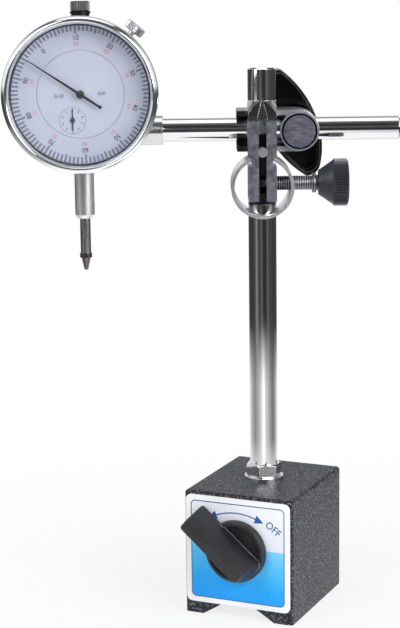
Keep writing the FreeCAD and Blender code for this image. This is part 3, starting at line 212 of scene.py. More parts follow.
def chrome(name, shade=0.82, smooth=0.06, haze=0.10):
    """Polished plating, with a faint haze and fine wiping marks in its gloss."""
    mat = Mat(name, Metallic=1.0)
    clouds = mat.noise(90.0, 3.0)
    marks = mat.noise(1400.0, 2.0, stretch=(1.0, 1.0, 0.06))
    mat.colour(mat.blend(mat.span(clouds, 0.35, 0.7, 0.0, 1.0), grey(shade * 0.93, 0.006),
                         grey(shade, 0.004)))
    mat.roughness(mat.math("ADD", mat.span(marks, 0.35, 0.75, smooth, haze),
                           mat.span(clouds, 0.5, 0.8, 0.0, 0.03)))
    mat.bump(marks, 0.002 * MM, 0.25, 0.15 * MM)
    return mat.material


def turned_metal(name, colour, smooth=0.25, rough=0.42):
    """Machined metal with fine tool marks."""
    mat = Mat(name, Metallic=1.0)
    marks = mat.noise(900.0, 3.0, 0.6)
    clouds = mat.noise(160.0, 3.0)
    dark = tuple(c * 0.78 for c in colour[:3]) + (1.0,)
    mat.colour(mat.blend(mat.span(clouds, 0.3, 0.75, 0.0, 1.0), dark, colour))
    mat.roughness(mat.span(marks, 0.3, 0.7, smooth, rough))
    mat.bump(marks, 0.004 * MM, 0.3, 0.12 * MM)
    return mat.material


def knurl_metal(name, point, way, radius, depth, light, dark, rough, metallic):
    """Knurled metal: a painted highlight on the crests, painted shade in the grooves, and the same
    dark colour on what lies deeper.  The radius of the crests and the depth of the grooves are in
    millimetres."""
    mat = Mat(name, Metallic=metallic)
    away = mat.off_axis(point, way)
    # painted light: the crests take the light colour as a painted highlight, the grooves the dark
    # one as painted shade
    painted_knurl_light = mat.span(away, (radius - depth * 0.8) * MM, (radius - depth * 0.45) * MM, 0.0, 1.0)
    clouds = mat.noise(400.0, 4.0, 0.6)
    shade = mat.blend(painted_knurl_light, dark, light)
    mat.colour(mat.blend(mat.span(clouds, 0.35, 0.75, 0.0, 0.35), shade, grey(0.02)))
    mat.roughness(mat.span(clouds, 0.3, 0.7, rough - 0.06, rough + 0.08))
    mat.bump(clouds, 0.01 * MM, 0.3, 0.1 * MM)
    return mat.material


def threaded(name, colour, way, pitch, depth):
    """A rolled thread, as ridges across its axis, with painted shade darkening its grooves; pitch
    and depth are in millimetres.
    """
    mat = Mat(name, Metallic=1.0, Roughness=0.3)
    turns = mat.math("MULTIPLY", mat.along(way), 2 * math.pi / (pitch * MM))
    ridges_and_painted_shade = mat.span(mat.math("SINE", turns), -1.0, 1.0, 0.0, 1.0)
    dirt = mat.noise(500.0, 3.0)
    # painted shade: the thread's grooves are darkened to this colour
    dark = tuple(c * 0.12 for c in colour[:3]) + (1.0,)
    mat.colour(mat.blend(mat.span(ridges_and_painted_shade, 0.1, 0.7, 0.0, 1.0), dark, colour))
    mat.roughness(mat.span(dirt, 0.3, 0.7, 0.24, 0.4))
    mat.bump(ridges_and_painted_shade, depth * MM, 0.8)
    return mat.material


def split_metal(name, heights, low_look, high_look, stain):
    """Metal with one look below a ragged line and another above; a look is a colour and a gloss.
    One of the looks is painted shade, where the piece runs inside another.
    """
    mat = Mat(name, Metallic=1.0)
    height = mat.along((0.0, 0.0, 1.0))
    clouds = mat.noise(350.0, 4.0, 0.6)
    ragged = mat.math("ADD", height, mat.math("MULTIPLY", clouds, 1.2 * MM))
    # 0 below the ragged line, 1 above it; one side of the line is painted shade
    painted_shade_split = mat.span(ragged, heights[0], heights[1], 0.0, 1.0)
    mottle = mat.blend(mat.span(clouds, 0.35, 0.65, 0.0, 1.0), grey(stain), grey(1.0))
    low_colour = mat.node("Mix", {0: 1.0, 6: mottle, 7: low_look[0]}, data_type="RGBA",
                          blend_type="MULTIPLY").outputs[2]
    mat.colour(mat.blend(painted_shade_split, low_colour, high_look[0]))
    mat.roughness(mat.span(painted_shade_split, 0.0, 1.0, low_look[1], high_look[1]))
    mat.bump(clouds, 0.004 * MM, 0.3, 0.15 * MM)
    return mat.material


def shell_metal():
    """The clamp shell: dull plating, with painted shade darkening its open end."""
    mat = Mat("clamp_shell", Metallic=1.0)
    clouds = mat.noise(300.0, 4.0, 0.6)
    # painted shade: the open end, to the reader's left along the bar, is darkened
    far = mat.span(mat.along(tuple(ALONG)), -8.0 * MM, 4.0 * MM, 0.0, 1.0)
    shade = mat.blend(far, grey(0.10, 0.01), grey(0.86, 0.01))
    mat.colour(mat.blend(mat.span(clouds, 0.35, 0.75, 0.0, 0.3), shade, grey(0.15)))
    mat.roughness(mat.span(clouds, 0.3, 0.7, 0.28, 0.4))
    mat.bump(clouds, 0.006 * MM, 0.3, 0.25 * MM)
    return mat.material


CAP_GROOVE_IN = 6.75        # radii of the groove round the clamp cap
CAP_GROOVE_OUT = 7.55


def cap_metal(point, way):
    """The clamp cap: a brushed face, a groove painted near black as shade, and a paler rim."""
    mat = Mat("clamp_cap", Metallic=1.0)
    away = mat.off_axis(point, way)
    brushed = mat.noise(420.0, 4.0, 0.65, stretch=(0.6, 0.6, 3.0))
    face = mat.blend(mat.span(brushed, 0.3, 0.7, 0.0, 1.0), (0.17, 0.17, 0.23, 1),
                     (0.34, 0.34, 0.42, 1))
    # painted shade: the groove is near black; the rim outside it is paler
    inner = mat.span(away, CAP_GROOVE_IN * MM, (CAP_GROOVE_IN + 0.15) * MM, 0.0, 1.0)
    outer = mat.span(away, CAP_GROOVE_OUT * MM, (CAP_GROOVE_OUT + 0.2) * MM, 0.0, 1.0)
    ring = mat.blend(outer, grey(0.008), (0.42, 0.42, 0.48, 1))
    mat.colour(mat.blend(inner, face, ring))
    mat.roughness(mat.span(brushed, 0.3, 0.7, 0.36, 0.52))
    mat.bump(brushed, 0.01 * MM, 0.4, 0.25 * MM)
    return mat.material


def plastic(name, colour, smooth, rough, grain_size, depth, worn=None, wear_and_highlight_width=0.0):
    """Moulded plastic with a fine spark-eroded grain, and along its edges the worn colour, as real
    wear and a painted edge highlight.
    """
    mat = Mat(name)
    grain = mat.noise(1.0 / grain_size, 3.0, 0.6)
    clouds = mat.noise(120.0, 3.0)
    light = tuple(c * 1.6 + 0.004 for c in colour[:3]) + (1.0,)
    shade = mat.blend(mat.span(clouds, 0.4, 0.75, 0.0, 1.0), colour, light)
    if worn:
        # edges in the worn colour: real wear together with a painted edge highlight
        edge_wear_and_highlight = mat.math("MULTIPLY", mat.edges(wear_and_highlight_width), mat.span(clouds, 0.3, 0.6, 0.35, 1.0))
        shade = mat.blend(edge_wear_and_highlight, shade, worn)
    mat.colour(shade)
    mat.roughness(mat.span(clouds, 0.3, 0.7, smooth, rough))
    mat.bump(grain, depth, 0.6, 0.3 * MM)
    return mat.material


def crinkle_paint():
    """Black hammered paint: small rounded cells with grey specks painted on as glints off the
    cells, fewer on the rounded edges, and chips to grey metal along the worn edges at the front and
    the right."""
    mat = Mat("black_hammered_paint", Specular_IOR_Level=0.35)
    place = mat.coords()
    cells = mat.node("TexVoronoi", {"Vector": place, "Scale": 1500.0, "Randomness": 1.0},
                     feature="SMOOTH_F1").outputs["Distance"]
    fine = mat.noise(1150.0, 3.0, 0.6, coords=place)
    worn = mat.noise(420.0, 5.0, 0.65, coords=place)
    sides = mat.node("SeparateXYZ", {0: place})
    low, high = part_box("pole_left")[0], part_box("pole_right")[1]
    to_right = mat.math("SUBTRACT", high.x, sides.outputs[0])
    to_front = mat.math("SUBTRACT", sides.outputs[1], low.y)
    to_floor = mat.math("SUBTRACT", sides.outputs[2], low.z)
    to_top = mat.math("SUBTRACT", high.z, sides.outputs[2])
    corner = mat.math("ADD", to_right, to_front)
    to_side = mat.math("MINIMUM", to_front, to_right)
    rim = mat.math("MINIMUM", corner, mat.math("ADD", to_floor, to_side))
    rim = mat.math("MINIMUM", rim, mat.math("ADD", to_top, to_side))
    near = mat.span(rim, 0.3 * MM, 2.2 * MM, 0.24, 0.0)
    chips = mat.span(mat.math("ADD", worn, near), 0.845, 0.87, 0.0, 1.0)
    # painted highlight: the grey specks stand in for glints off the cells, and are fewer on the
    # rounded edges
    speck = mat.span(fine, 0.53, 0.66, 0.0, 1.0)
    speck = mat.math("MULTIPLY", speck, mat.span(mat.edges(1.2 * MM), 0.0, 1.0, 1.0, 0.1))
    paint = mat.blend(speck, (0.005, 0.005, 0.009, 1), (0.19, 0.19, 0.25, 1))
    mat.colour(mat.blend(chips, paint, (0.42, 0.41, 0.40, 1)))
    mat.roughness(mat.span(cells, 0.1, 0.7, 0.34, 0.55))
    height = mat.math("SUBTRACT", mat.math("ADD", cells, mat.math("MULTIPLY", fine, 0.4)),
                      mat.math("MULTIPLY", chips, 1.2))
    mat.bump(height, 0.16 * MM, 1.0, 0.6 * MM)
    return mat.material


def printed(name, colour, rough=0.45):
    """Ink or lacquer, with slight unevenness."""
    mat = Mat(name)
    clouds = mat.noise(500.0, 3.0)
    light = tuple(min(1.0, c * 1.12 + 0.01) for c in colour[:3]) + (1.0,)
    mat.colour(mat.blend(mat.span(clouds, 0.35, 0.7, 0.0, 1.0), colour, light))
    mat.roughness(mat.span(clouds, 0.3, 0.7, rough - 0.06, rough + 0.06))
    return mat.material


def dial_paint():
    """Matt pale blue-grey dial lacquer."""
    mat = Mat("dial_lacquer", Specular_IOR_Level=0.35)
    clouds = mat.noise(60.0, 3.0)
    grain = mat.noise(3000.0, 2.0)
    mat.colour(mat.blend(mat.span(clouds, 0.3, 0.7, 0.0, 1.0), (0.455, 0.49, 0.605, 1),
                         (0.51, 0.54, 0.65, 1)))
    mat.roughness(mat.span(grain, 0.3, 0.7, 0.45, 0.6))
    mat.bump(grain, 0.004 * MM, 0.4)
    return mat.material


def clear_window():
    """The crystal: nearly clear, with faint scuffs in its gloss."""
    mat = Mat("crystal_clear", Metallic=0.0, Alpha=0.035, Roughness=0.03, IOR=1.49)
    scuffs = mat.noise(300.0, 4.0, 0.6)
    mat.colour(mat.blend(scuffs, (0.30, 0.32, 0.36, 1), (0.40, 0.42, 0.46, 1)))
    mat.roughness(mat.span(scuffs, 0.4, 0.8, 0.02, 0.07))
    return mat.material


# ------------------------------------------------------------------ mesh helpers
def mesh_object(name, bm, material, body, sharp=None):
    """A finished piece from a bmesh, riding on its body.  With a sharp angle in degrees it is
    shaded smooth up to that angle."""
    bmesh.ops.recalc_face_normals(bm, faces=bm.faces)
    data = bpy.data.meshes.new(name)
    bm.to_mesh(data)
    bm.free()
    made = bpy.data.objects.new(name, data)
    bpy.context.scene.collection.objects.link(made)
    data.materials.append(material)
    if sharp is not None:
        for face in data.polygons:
            face.use_smooth = True
        data.set_sharp_from_angle(angle=math.radians(sharp))
    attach(made, body)
    return made


def lathe(profile, start, along, steps, ripples=0, closed=True):
    """A surface turned about a line.  The profile is (height, radius, ripple depth) in millimetres;
    ripples of that depth run round it as knurling.  Closed joins its last ring to its first."""
    bm = bmesh.new()
    side = along.orthogonal().normalized()
    other = along.cross(side)
    rows = []
    for entry in profile:
        height, radius = entry[0], entry[1]
        depth = entry[2] if len(entry) > 2 else 0.0
        if radius < 1e-6:
            rows.append([bm.verts.new(start + along * height * MM)])
            continue
        row = []
        for i in range(steps):
            angle = 2 * math.pi * i / steps
            reach_out = radius
            if depth:
                phase = (i * ripples / steps) % 1.0
                reach_out = radius - depth * abs(2 * phase - 1)
            spoke = side * math.cos(angle) + other * math.sin(angle)
            row.append(bm.verts.new(start + (along * height + spoke * reach_out) * MM))
        rows.append(row)
    pairs = list(zip(rows, rows[1:]))
    if closed:
        pairs.append((rows[-1], rows[0]))
    for first, second in pairs:
        skin(bm, first, second, steps)
    return bm


def skin(bm, first, second, steps):
    """Faces between two rings, either of which may be a single point."""
    if len(first) == 1 and len(second) == 1:
        return
    for i in range(steps):
        j = (i + 1) % steps
        if len(first) == 1:
            corners = (first[0], second[j], second[i])
        elif len(second) == 1:
            corners = (first[i], first[j], second[0])
        else:
            corners = (first[i], first[j], second[j], second[i])
        bm.faces.new(corners)


def slab(bm, place, outline, low, high):
    """A flat closed plate with a given outline in a Place, between two heights."""
    bottom = [bm.verts.new(place(x, y, low)) for x, y in outline]
    top = [bm.verts.new(place(x, y, high)) for x, y in outline]
    count = len(outline)
    bm.faces.new(top)
    bm.faces.new(list(reversed(bottom)))
    for i in range(count):
        j = (i + 1) % count
        bm.faces.new((bottom[i], bottom[j], top[j], top[i]))


def band(bm, place, outer, inner, low, high):
    """A closed flat ring between two outlines with equally many points."""
    count = len(outer)
    rings = [[bm.verts.new(place(x, y, h)) for x, y in line]
             for line, h in ((outer, low), (outer, high), (inner, high), (inner, low))]
    for first, second in zip(rings, rings[1:] + rings[:1]):
        for i in range(count):
            j = (i + 1) % count
            bm.faces.new((first[i], first[j], second[j], second[i]))


def circle(radius, centre=(0.0, 0.0), count=128):
    return [(centre[0] + radius * math.cos(2 * math.pi * i / count),
             centre[1] + radius * math.sin(2 * math.pi * i / count)) for i in range(count)]


def write(bm, place, text, size, centre, turn, height, bold, squeeze):
    """Flat lettering centred on a point of a Place, turned by an angle in degrees."""
    curve = bpy.data.curves.new("lettering", "FONT")
    curve.body = text
    curve.size = size
    curve.align_x = "CENTER"
    curve.align_y = "CENTER"
    curve.offset = bold
    curve.extrude = height / 2
    curve.resolution_u = 3
    maker = bpy.data.objects.new("lettering", curve)
    bpy.context.scene.collection.objects.link(maker)
    bpy.context.view_layer.update()
    data = bpy.data.meshes.new_from_object(maker)
    spin = Matrix.Rotation(math.radians(turn), 4, "Z") @ Matrix.Scale(squeeze, 4, (1, 0, 0))
    put = Matrix.Translation((centre[0], centre[1], height / 2 + 0.005))
    data.transform(place.matrix() @ put @ spin)
    bm.from_mesh(data)
    bpy.data.objects.remove(maker)
    bpy.data.curves.remove(curve)
    bpy.data.meshes.remove(data)


def merge(bm, other):
    """Adds one bmesh to another and frees it."""
    data = bpy.data.meshes.new("part")
    other.to_mesh(data)
    other.free()
    bm.from_mesh(data)
    bpy.data.meshes.remove(data)


def dress(node, material):
    """Gives a CAD node its material."""
    data = NODES[node].data
    data.materials.clear()
    data.materials.append(material)


# ------------------------------------------------------------------ camera, light and floor
# Fitted to the corners of the base in the photo: angles in degrees, lengths in millimetres.
CAMERA_AZIMUTH = 24.2
CAMERA_RISE = 11.0
CAMERA_ROLL = -0.73
CAMERA_DISTANCE = 800.0
CAMERA_AIM = 55.0
CAMERA_SIDE = -27.3
CAMERA_LIFT = 72.5
CAMERA_LENS = 103.9
SENSOR = 36.0


def make_camera():
    """Places the camera, and returns its right and the way back to it."""
    azimuth = math.radians(CAMERA_AZIMUTH)
    rise = math.radians(CAMERA_RISE)
    roll = math.radians(CAMERA_ROLL)
    back = Vector((math.sin(azimuth) * math.cos(rise), -math.cos(azimuth) * math.cos(rise),
                   math.sin(rise)))
    right = Vector((math.cos(azimuth), math.sin(azimuth), 0))
    up = back.cross(right)
    centre = (Vector((0, 0, CAMERA_AIM)) + back * CAMERA_DISTANCE + right * CAMERA_SIDE
              + up * CAMERA_LIFT) * MM
    level = right * math.cos(roll) + up * math.sin(roll)
    upright = up * math.cos(roll) - right * math.sin(roll)
    turn = Matrix((level, upright, back)).transposed().to_4x4()
    data = bpy.data.cameras.new("camera")
    data.sensor_fit = "VERTICAL"
    data.sensor_height = SENSOR
    data.lens = CAMERA_LENS
    data.clip_start = 0.05
    camera = bpy.data.objects.new("camera", data)
    camera.matrix_world = Matrix.Translation(centre) @ turn
    bpy.context.scene.collection.objects.link(camera)
    bpy.context.scene.camera = camera
    return right, back


def area_light(name, place, target, size, power):
    data = bpy.data.lights.new(name, "AREA")
    data.shape = "RECTANGLE"
    data.size, data.size_y = size
    data.energy = power
    made = bpy.data.objects.new(name, data)
    made.location = place
    made.rotation_euler = (target - place).to_track_quat("-Z", "Y").to_euler()
    bpy.context.scene.collection.objects.link(made)


SKY = 0.40                  # the world's strength for matt surfaces

# The studio as polished metal sees it, by heading: degrees about the column, 0 towards the reader
# and positive to the reader's right, each with its shade.
CURTAINS_LOW = ((-180, 0.30), (-150, 0.10), (-128, 0.045), (-80, 0.05), (-62, 0.12), (-52, 0.30),
                (-42, 0.12), (-32, 0.05), (-20, 0.07), (-12, 0.15), (-3, 0.06), (8, 0.028),
                (28, 0.035), (36, 0.13), (46, 0.12), (54, 0.05), (68, 0.07), (85, 0.05),
                (100, 0.05), (130, 0.05), (150, 0.12), (180, 0.30))
CURTAINS_HIGH = ((-180, 0.9), (-150, 0.9), (-138, 0.25), (-130, 0.9), (-70, 1.0), (-50, 0.9),
                 (-38, 0.10), (-20, 0.05), (20, 0.05), (38, 0.10), (50, 0.75), (100, 0.9),
                 (122, 0.8), (130, 0.12), (142, 0.12), (152, 0.9), (180, 0.9))
FLOOR_NEAR = ((-180, 0.9), (-140, 0.85), (-110, 0.5), (-75, 0.30), (-45, 0.5), (-20, 0.8),
              (-5, 1.35), (5, 1.35), (15, 0.8), (40, 0.55), (75, 0.22), (100, 0.30), (140, 0.8),
              (180, 0.9))
# The same by the sine of the height, for every heading.
CEILING = ((0.0, 0.03), (0.10, 0.03), (0.19, 0.14), (0.30, 0.10), (0.40, 0.02), (0.60, 0.02),
           (0.80, 0.09), (0.93, 0.20), (0.975, 0.9), (1.0, 1.0))
FLOOR_SIDE = 6.0
FLOOR_GLOW = 1.15           # the floor round the base, as polished metal sees it
# Where the floor changes, as metres from the column.
GLOW_FADE = (0.16, 0.28)    # from the glow to FLOOR_NEAR
TABLE_END = (0.42, 0.62)    # from FLOOR_NEAR to the room beyond
SHADOW_FADE = (0.06, 0.26)  # from shadow to plain white, for the camera


def headings(tree, direction):
    """The heading of a direction, from 0 to 1, with 0.5 towards the reader."""
    turn = math.radians(90 - CAMERA_AZIMUTH)
    turned = tree.node("VectorRotate", {"Vector": direction, "Angle": turn},
                       rotation_type="Z_AXIS").outputs[0]
    parts = tree.node("SeparateXYZ", {0: turned})
    angle = tree.math("ARCTAN2", parts.outputs[1], parts.outputs[0])
    return tree.span(angle, -math.pi, math.pi, 0.0, 1.0)


def shades(stops):
    """Ramp stops from headings in degrees and their shades, tinted slightly blue."""
    return [((heading + 180) / 360, grey(shade, 0.012 * shade)) for heading, shade in stops]


def make_world():
    """White for the camera; for gloss, a studio with dark curtains and soft boxes at the sides."""
    world = bpy.data.worlds.new("studio")
    bpy.context.scene.world = world
    world.use_nodes = True
    tree = Nodes(world.node_tree)
    direction = tree.node("TexCoord").outputs["Generated"]
    height = tree.node("SeparateXYZ", {0: direction}).outputs[2]
    heading = headings(tree, direction)
    low = tree.ramp(heading, shades(CURTAINS_LOW))
    sides = tree.ramp(heading, shades(CURTAINS_HIGH))
    sides = tree.blend(tree.span(height, 0.45, 0.85, 0.0, 1.0), sides, grey(0.0))
    above = tree.ramp(height, [(place, grey(shade, 0.02 * shade)) for place, shade in CEILING])
    high = tree.node("Mix", {0: 1.0, 6: sides, 7: above}, data_type="RGBA",
                     blend_type="LIGHTEN").outputs[2]
    studio = tree.blend(tree.span(height, -0.04, 0.05, 0.0, 1.0), low, high)
    shiny = tree.node("Background", {0: studio, 1: 1.0})
    plain = tree.node("Background", {0: grey(1.0), 1: 1.0})
    soft = tree.node("Background", {0: (0.95, 0.965, 1.0, 1), 1: SKY})
    path = tree.node("LightPath")
    gloss = tree.node("MixShader", {0: path.outputs["Is Glossy Ray"], 1: soft.outputs[0],
                                    2: shiny.outputs[0]})
    seen = tree.math("MAXIMUM", path.outputs["Is Camera Ray"], path.outputs["Is Transmission Ray"])
    mix = tree.node("MixShader", {0: seen, 1: gloss.outputs[0], 2: plain.outputs[0]})
    tree.link(mix.outputs[0], tree.node("OutputWorld").inputs[0])


def make_floor():
    """A wide pale floor: white to the camera but for the object's shadow, and to polished metal
    white near the object and dark beyond, where the table ends."""
    mesh = bpy.data.meshes.new("floor")
    side = FLOOR_SIDE / 2
    mesh.from_pydata([(-side, -side, 0), (side, -side, 0), (side, side, 0), (-side, side, 0)], [],
                     [(0, 1, 2, 3)])
    floor = bpy.data.objects.new("floor", mesh)
    floor.location = (0, 0, -0.05 * MM)
    bpy.context.scene.collection.objects.link(floor)
    mat = Mat("floor_paper", Roughness=0.8, Specular_IOR_Level=0.1)
    place = mat.coords()
    speck = mat.noise(40.0, 2.0)
    mat.colour(mat.blend(speck, (0.88, 0.88, 0.885, 1), (0.90, 0.90, 0.905, 1)))
    away = mat.node("VectorMath", {0: place}, operation="LENGTH").outputs["Value"]
    heading = headings(mat, place)
    near = mat.ramp(heading, shades(FLOOR_NEAR))
    far = mat.ramp(heading, shades(CURTAINS_LOW))
    near = mat.blend(mat.span(away, *GLOW_FADE, 0.0, 1.0), grey(FLOOR_GLOW), near)
    seen = mat.blend(mat.span(away, *TABLE_END, 0.0, 1.0), near, far)
    shiny = mat.node("Emission", {0: seen, 1: 1.0})
    white = mat.node("Emission", {0: grey(1.0), 1: 1.0})
    fade = mat.span(away, *SHADOW_FADE, 0.80, 1.0)
    plain = mat.node("MixShader", {0: fade, 1: mat.shader.outputs[0], 2: white.outputs[0]})
    path = mat.node("LightPath")
    lit = mat.node("MixShader", {0: path.outputs["Is Camera Ray"], 1: mat.shader.outputs[0],
                                 2: plain.outputs[0]})
    gloss = mat.node("MixShader", {0: path.outputs["Is Glossy Ray"], 1: lit.outputs[0],
                                   2: shiny.outputs[0]})
    mat.link(gloss.outputs[0], mat.output.inputs[0])
    mesh.materials.append(mat.material)


right, back = make_camera()
make_world()
make_floor()
target = Vector((0, 0, 0.13))
front_left = (back * 0.7 - right * 0.75).normalized()
front_right = (back * 0.8 + right * 0.7).normalized()
area_light("key", target + front_left * 1.1 + UP * 0.7, target, size=(0.7, 0.9), power=6.5)
area_light("fill", target + front_right * 1.2 + UP * 0.35, target, size=(0.8, 0.8), power=13)
area_light("top", target + UP * 1.3 - back * 0.2, target, size=(1.0, 1.0), power=2.5)

# ------------------------------------------------------------------ materials of the CAD nodes
HEAD_R = 10.1               # knurled head of the fine screw and dust cap, over the ridges
HEAD_RIDGE = 0.7
CAP_R = 3.9
CAP_RIDGE = 0.3
SCREW_PITCH = 1.0
SCREW_DEPTH = 0.25
COLUMN_SPLIT = (0.1768, 0.1778)     # heights in metres where the look changes, as painted shade: above on the column, below on the post
POST_SPLIT = (0.2128, 0.2145)

BLACK_PAINT = crinkle_paint()
BRASS = turned_metal("turned_brass", (0.72, 0.53, 0.25, 1))
STEEL = turned_metal("turned_steel", (0.55, 0.55, 0.58, 1), 0.22, 0.38)
DARK_STEEL = turned_metal("dark_steel", (0.20, 0.195, 0.21, 1), 0.22, 0.4)
GUNMETAL = turned_metal("blued_steel", (0.24, 0.24, 0.33, 1), 0.28, 0.45)
# knurls: the first colour is a painted highlight on the crests, the second painted shade in the
# grooves
KNURL_HEAD = knurl_metal("fine_screw_knurl", tuple(FINE), tuple(ALONG), HEAD_R, HEAD_RIDGE,
                         (0.34, 0.34, 0.40, 1), (0.045, 0.045, 0.06, 1), 0.42, 0.45)
CAP_AXIS = tuple((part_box("dust_cap")[0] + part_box("dust_cap")[1]) / 2)
# the dust cap's knurl, with the same painted crest highlight and groove shade
KNURL_CAP = knurl_metal("dust_cap_knurl", CAP_AXIS, (0.0, 0.0, 1.0), CAP_R, CAP_RIDGE,
                        (0.26, 0.25, 0.28, 1), (0.03, 0.03, 0.035, 1), 0.42, 0.5)
# the screw thread: its grooves get painted shade, a darker copy of this colour
THREAD = threaded("screw_thread", (0.32, 0.32, 0.36, 1), tuple(ALONG), SCREW_PITCH,
                  SCREW_DEPTH)
# the post: painted shade below its split, in the fork's slot, with a random mottle
POST = split_metal("post_chrome", POST_SPLIT, ((0.62, 0.62, 0.74, 1), 0.36),
                   (grey(0.86, 0.004), 0.07), 0.42)
# the column: painted shade above its split, dark and dull, where it runs up inside the ring and
# fork
COLUMN = split_metal("column_chrome", COLUMN_SPLIT, (grey(0.84, 0.004), 0.07),
                     (grey(0.045, 0.002), 0.4), 0.95)
SHELL = shell_metal()
CAP = cap_metal(tuple(joint_at("wing_turn")), tuple(FACING))
KNURL_BRIGHT = turned_metal("knurled_bright_steel", (0.62, 0.62, 0.64, 1), 0.2, 0.38)
TURNED_BRIGHT = chrome("turned_bright", 0.92, 0.32, 0.42)
TURNED_GREY = chrome("turned_grey", 0.52, 0.24, 0.34)
POLISHED = chrome("polished_rim", 0.93, 0.10, 0.16)
BUSH_BLACK = turned_metal("blackened_bush", (0.03, 0.03, 0.035, 1), 0.3, 0.45)
PIN = turned_metal("pin_head", (0.42, 0.42, 0.44, 1), 0.5, 0.62)
POINT_STEEL = turned_metal("point_steel", (0.24, 0.20, 0.18, 1), 0.22, 0.4)
BRIGHT = chrome("bright_chrome")
SATIN = chrome("satin_chrome", 0.72, 0.16, 0.26)
DIAL_PAINT = dial_paint()
CLEAR = clear_window()
# the wing knob: its worn colour is a painted rim highlight along the edges
BLACK_GLOSS = plastic("black_gloss_plastic", (0.006, 0.006, 0.008, 1), 0.10, 0.2, 0.5 * MM,
                      0.008 * MM, worn=(0.16, 0.16, 0.18, 1), wear_and_highlight_width=1.1 * MM)
BLACK_MATT = plastic("black_matt_plastic", (0.012, 0.012, 0.014, 1), 0.36, 0.5, 0.25 * MM,
                     0.02 * MM)
# the switch knob: its worn colour is real wear on the handle's edges and a painted highlight on the
# flange rim
KNOB_PLASTIC = plastic("switch_knob_plastic", (0.010, 0.010, 0.013, 1), 0.38, 0.5, 0.35 * MM,
                       0.035 * MM, worn=(0.42, 0.40, 0.40, 1), wear_and_highlight_width=0.5 * MM)
INK_BLACK = printed("ink_black", (0.02, 0.025, 0.06, 1))
INK_BLUE_GREY = printed("ink_blue_grey", (0.16, 0.17, 0.26, 1))
INK_GREY = printed("ink_grey", (0.10, 0.11, 0.17, 1))
INK_PALE = printed("ink_pale", (0.33, 0.35, 0.45, 1))
INK_RED = printed("ink_red", (0.55, 0.20, 0.30, 1))
INK_LABEL = printed("ink_label_blue", (0.02, 0.11, 0.30, 1))
INK_ARROW = printed("ink_arrow_blue", (0.012, 0.09, 0.42, 1))
INK_TEAL = printed("ink_teal", (0.03, 0.13, 0.24, 1))
HAND = printed("hand_lacquer", (0.004, 0.003, 0.006, 1), 0.4)

FINISHES = {
    "pole_left": BLACK_PAINT, "pole_right": BLACK_PAINT, "pole_divider": BLACK_PAINT,
    "front_bush": BRASS, "rear_plug": STEEL, "switch_shaft": BRASS,
    "rotor_magnet": DARK_STEEL, "rotor_shoes": STEEL, "switch_knob": BLACK_MATT,
    "lower_column": COLUMN, "column_washer": SATIN, "lock_nut": BRIGHT,
    "tilt_post": POST, "pivot_pin": PIN, "spring_ring": TURNED_BRIGHT, "clamp_shell": SHELL,
    "eye_bolt": CAP, "fine_screw": THREAD, "fine_screw_head": GUNMETAL,
    "wing_knob": BLACK_GLOSS, "wing_insert": BRASS, "cross_bar": BRIGHT,
    "holder_link": SATIN, "pinch_screw": STEEL, "lug_bolt": STEEL, "lug_nut": STEEL,
    "gauge_case": SATIN, "back_cover": SATIN, "cover_screws": STEEL, "stem": TURNED_BRIGHT,
    "guide_bushes": BRASS, "top_bush": BUSH_BLACK, "dust_cap": DARK_STEEL,
    "dial_center": DIAL_PAINT, "front_bridge": BRASS, "rear_bridge": BRASS,
    "bridge_pillars": BRASS, "bezel": BRIGHT, "dial_ring": DIAL_PAINT, "dial_spacer": SATIN,
    "crystal": CLEAR, "bezel_lock": KNURL_BRIGHT, "spindle": TURNED_GREY,
    "contact_point": POINT_STEEL, "guide_pin": STEEL, "return_spring": STEEL,
    "center_pinion": STEEL, "main_pointer": HAND,
    "counter_wheel": BRASS, "rack_pinion": STEEL, "small_pointer": HAND, "take_up_wheel": BRASS,
    "hairspring": STEEL,
}
for node_name, finish in FINISHES.items():
    dress(node_name, finish)

# ------------------------------------------------------------------ dial print
DIAL_TURN = 39.6            # the dial stands turned this far counter-clockwise
TICK_OUT = 27.9
TICK_IN = 25.2
TICK_IN_FIVE = 24.7
TICK_IN_TEN = 24.1
TICK_WIDTH = 0.78
NUMBER_R = 22.4
REVERSE_R = 19.9
DIVIDE_R = 17.6             # where the fixed inner disc ends
COUNTER_R = 5.5
COUNTER_DIGIT_R = 4.0
PRINT = 0.02                # height of the ink
HAND_SHEET = 0.25           # thickness of a hand's blade


def spoke(angle):
    """Unit vector at an angle clockwise from the top."""
    return math.sin(math.radians(angle)), math.cos(math.radians(angle))


def dashes(bm, place, centre, angles, inner, outer, width):
    """Short radial strokes round a centre."""
    for angle in angles:
        x, y = spoke(angle)
        half = width / 2
        corners = [(centre[0] + x * r - side * y * half, centre[1] + y * r + side * x * half)
                   for r, side in ((inner, -1), (outer, -1), (outer, 1), (inner, 1))]
        slab(bm, place, corners, 0.0, PRINT)


def print_dial():
    """The turning ring: ticks, numbers, and smaller numbers that run the other way."""
    place = dial_place("dial_ring")
    ticks = bmesh.new()
    for i in range(100):
        inner = TICK_IN_TEN if i % 10 == 0 else TICK_IN_FIVE if i % 5 == 0 else TICK_IN
        dashes(ticks, place, (0, 0), [i * 3.6 - DIAL_TURN], inner, TICK_OUT, TICK_WIDTH)
    mesh_object("dial_ticks", ticks, INK_BLUE_GREY, "bezel_group")
    numbers = bmesh.new()
    reverse = bmesh.new()
    for i in range(10):
        angle = i * 36 - DIAL_TURN
        x, y = spoke(angle)
        write(numbers, place, str(i * 10), 2.9, (x * NUMBER_R, y * NUMBER_R), -angle, PRINT,
              0.03, 0.9)
        if i:
            write(reverse, place, str(100 - i * 10), 2.3, (x * REVERSE_R, y * REVERSE_R),
                  -angle, PRINT, 0.02, 0.9)
    mesh_object("dial_numbers", numbers, INK_BLACK, "bezel_group")
    mesh_object("dial_reverse_numbers", reverse, INK_RED, "bezel_group")


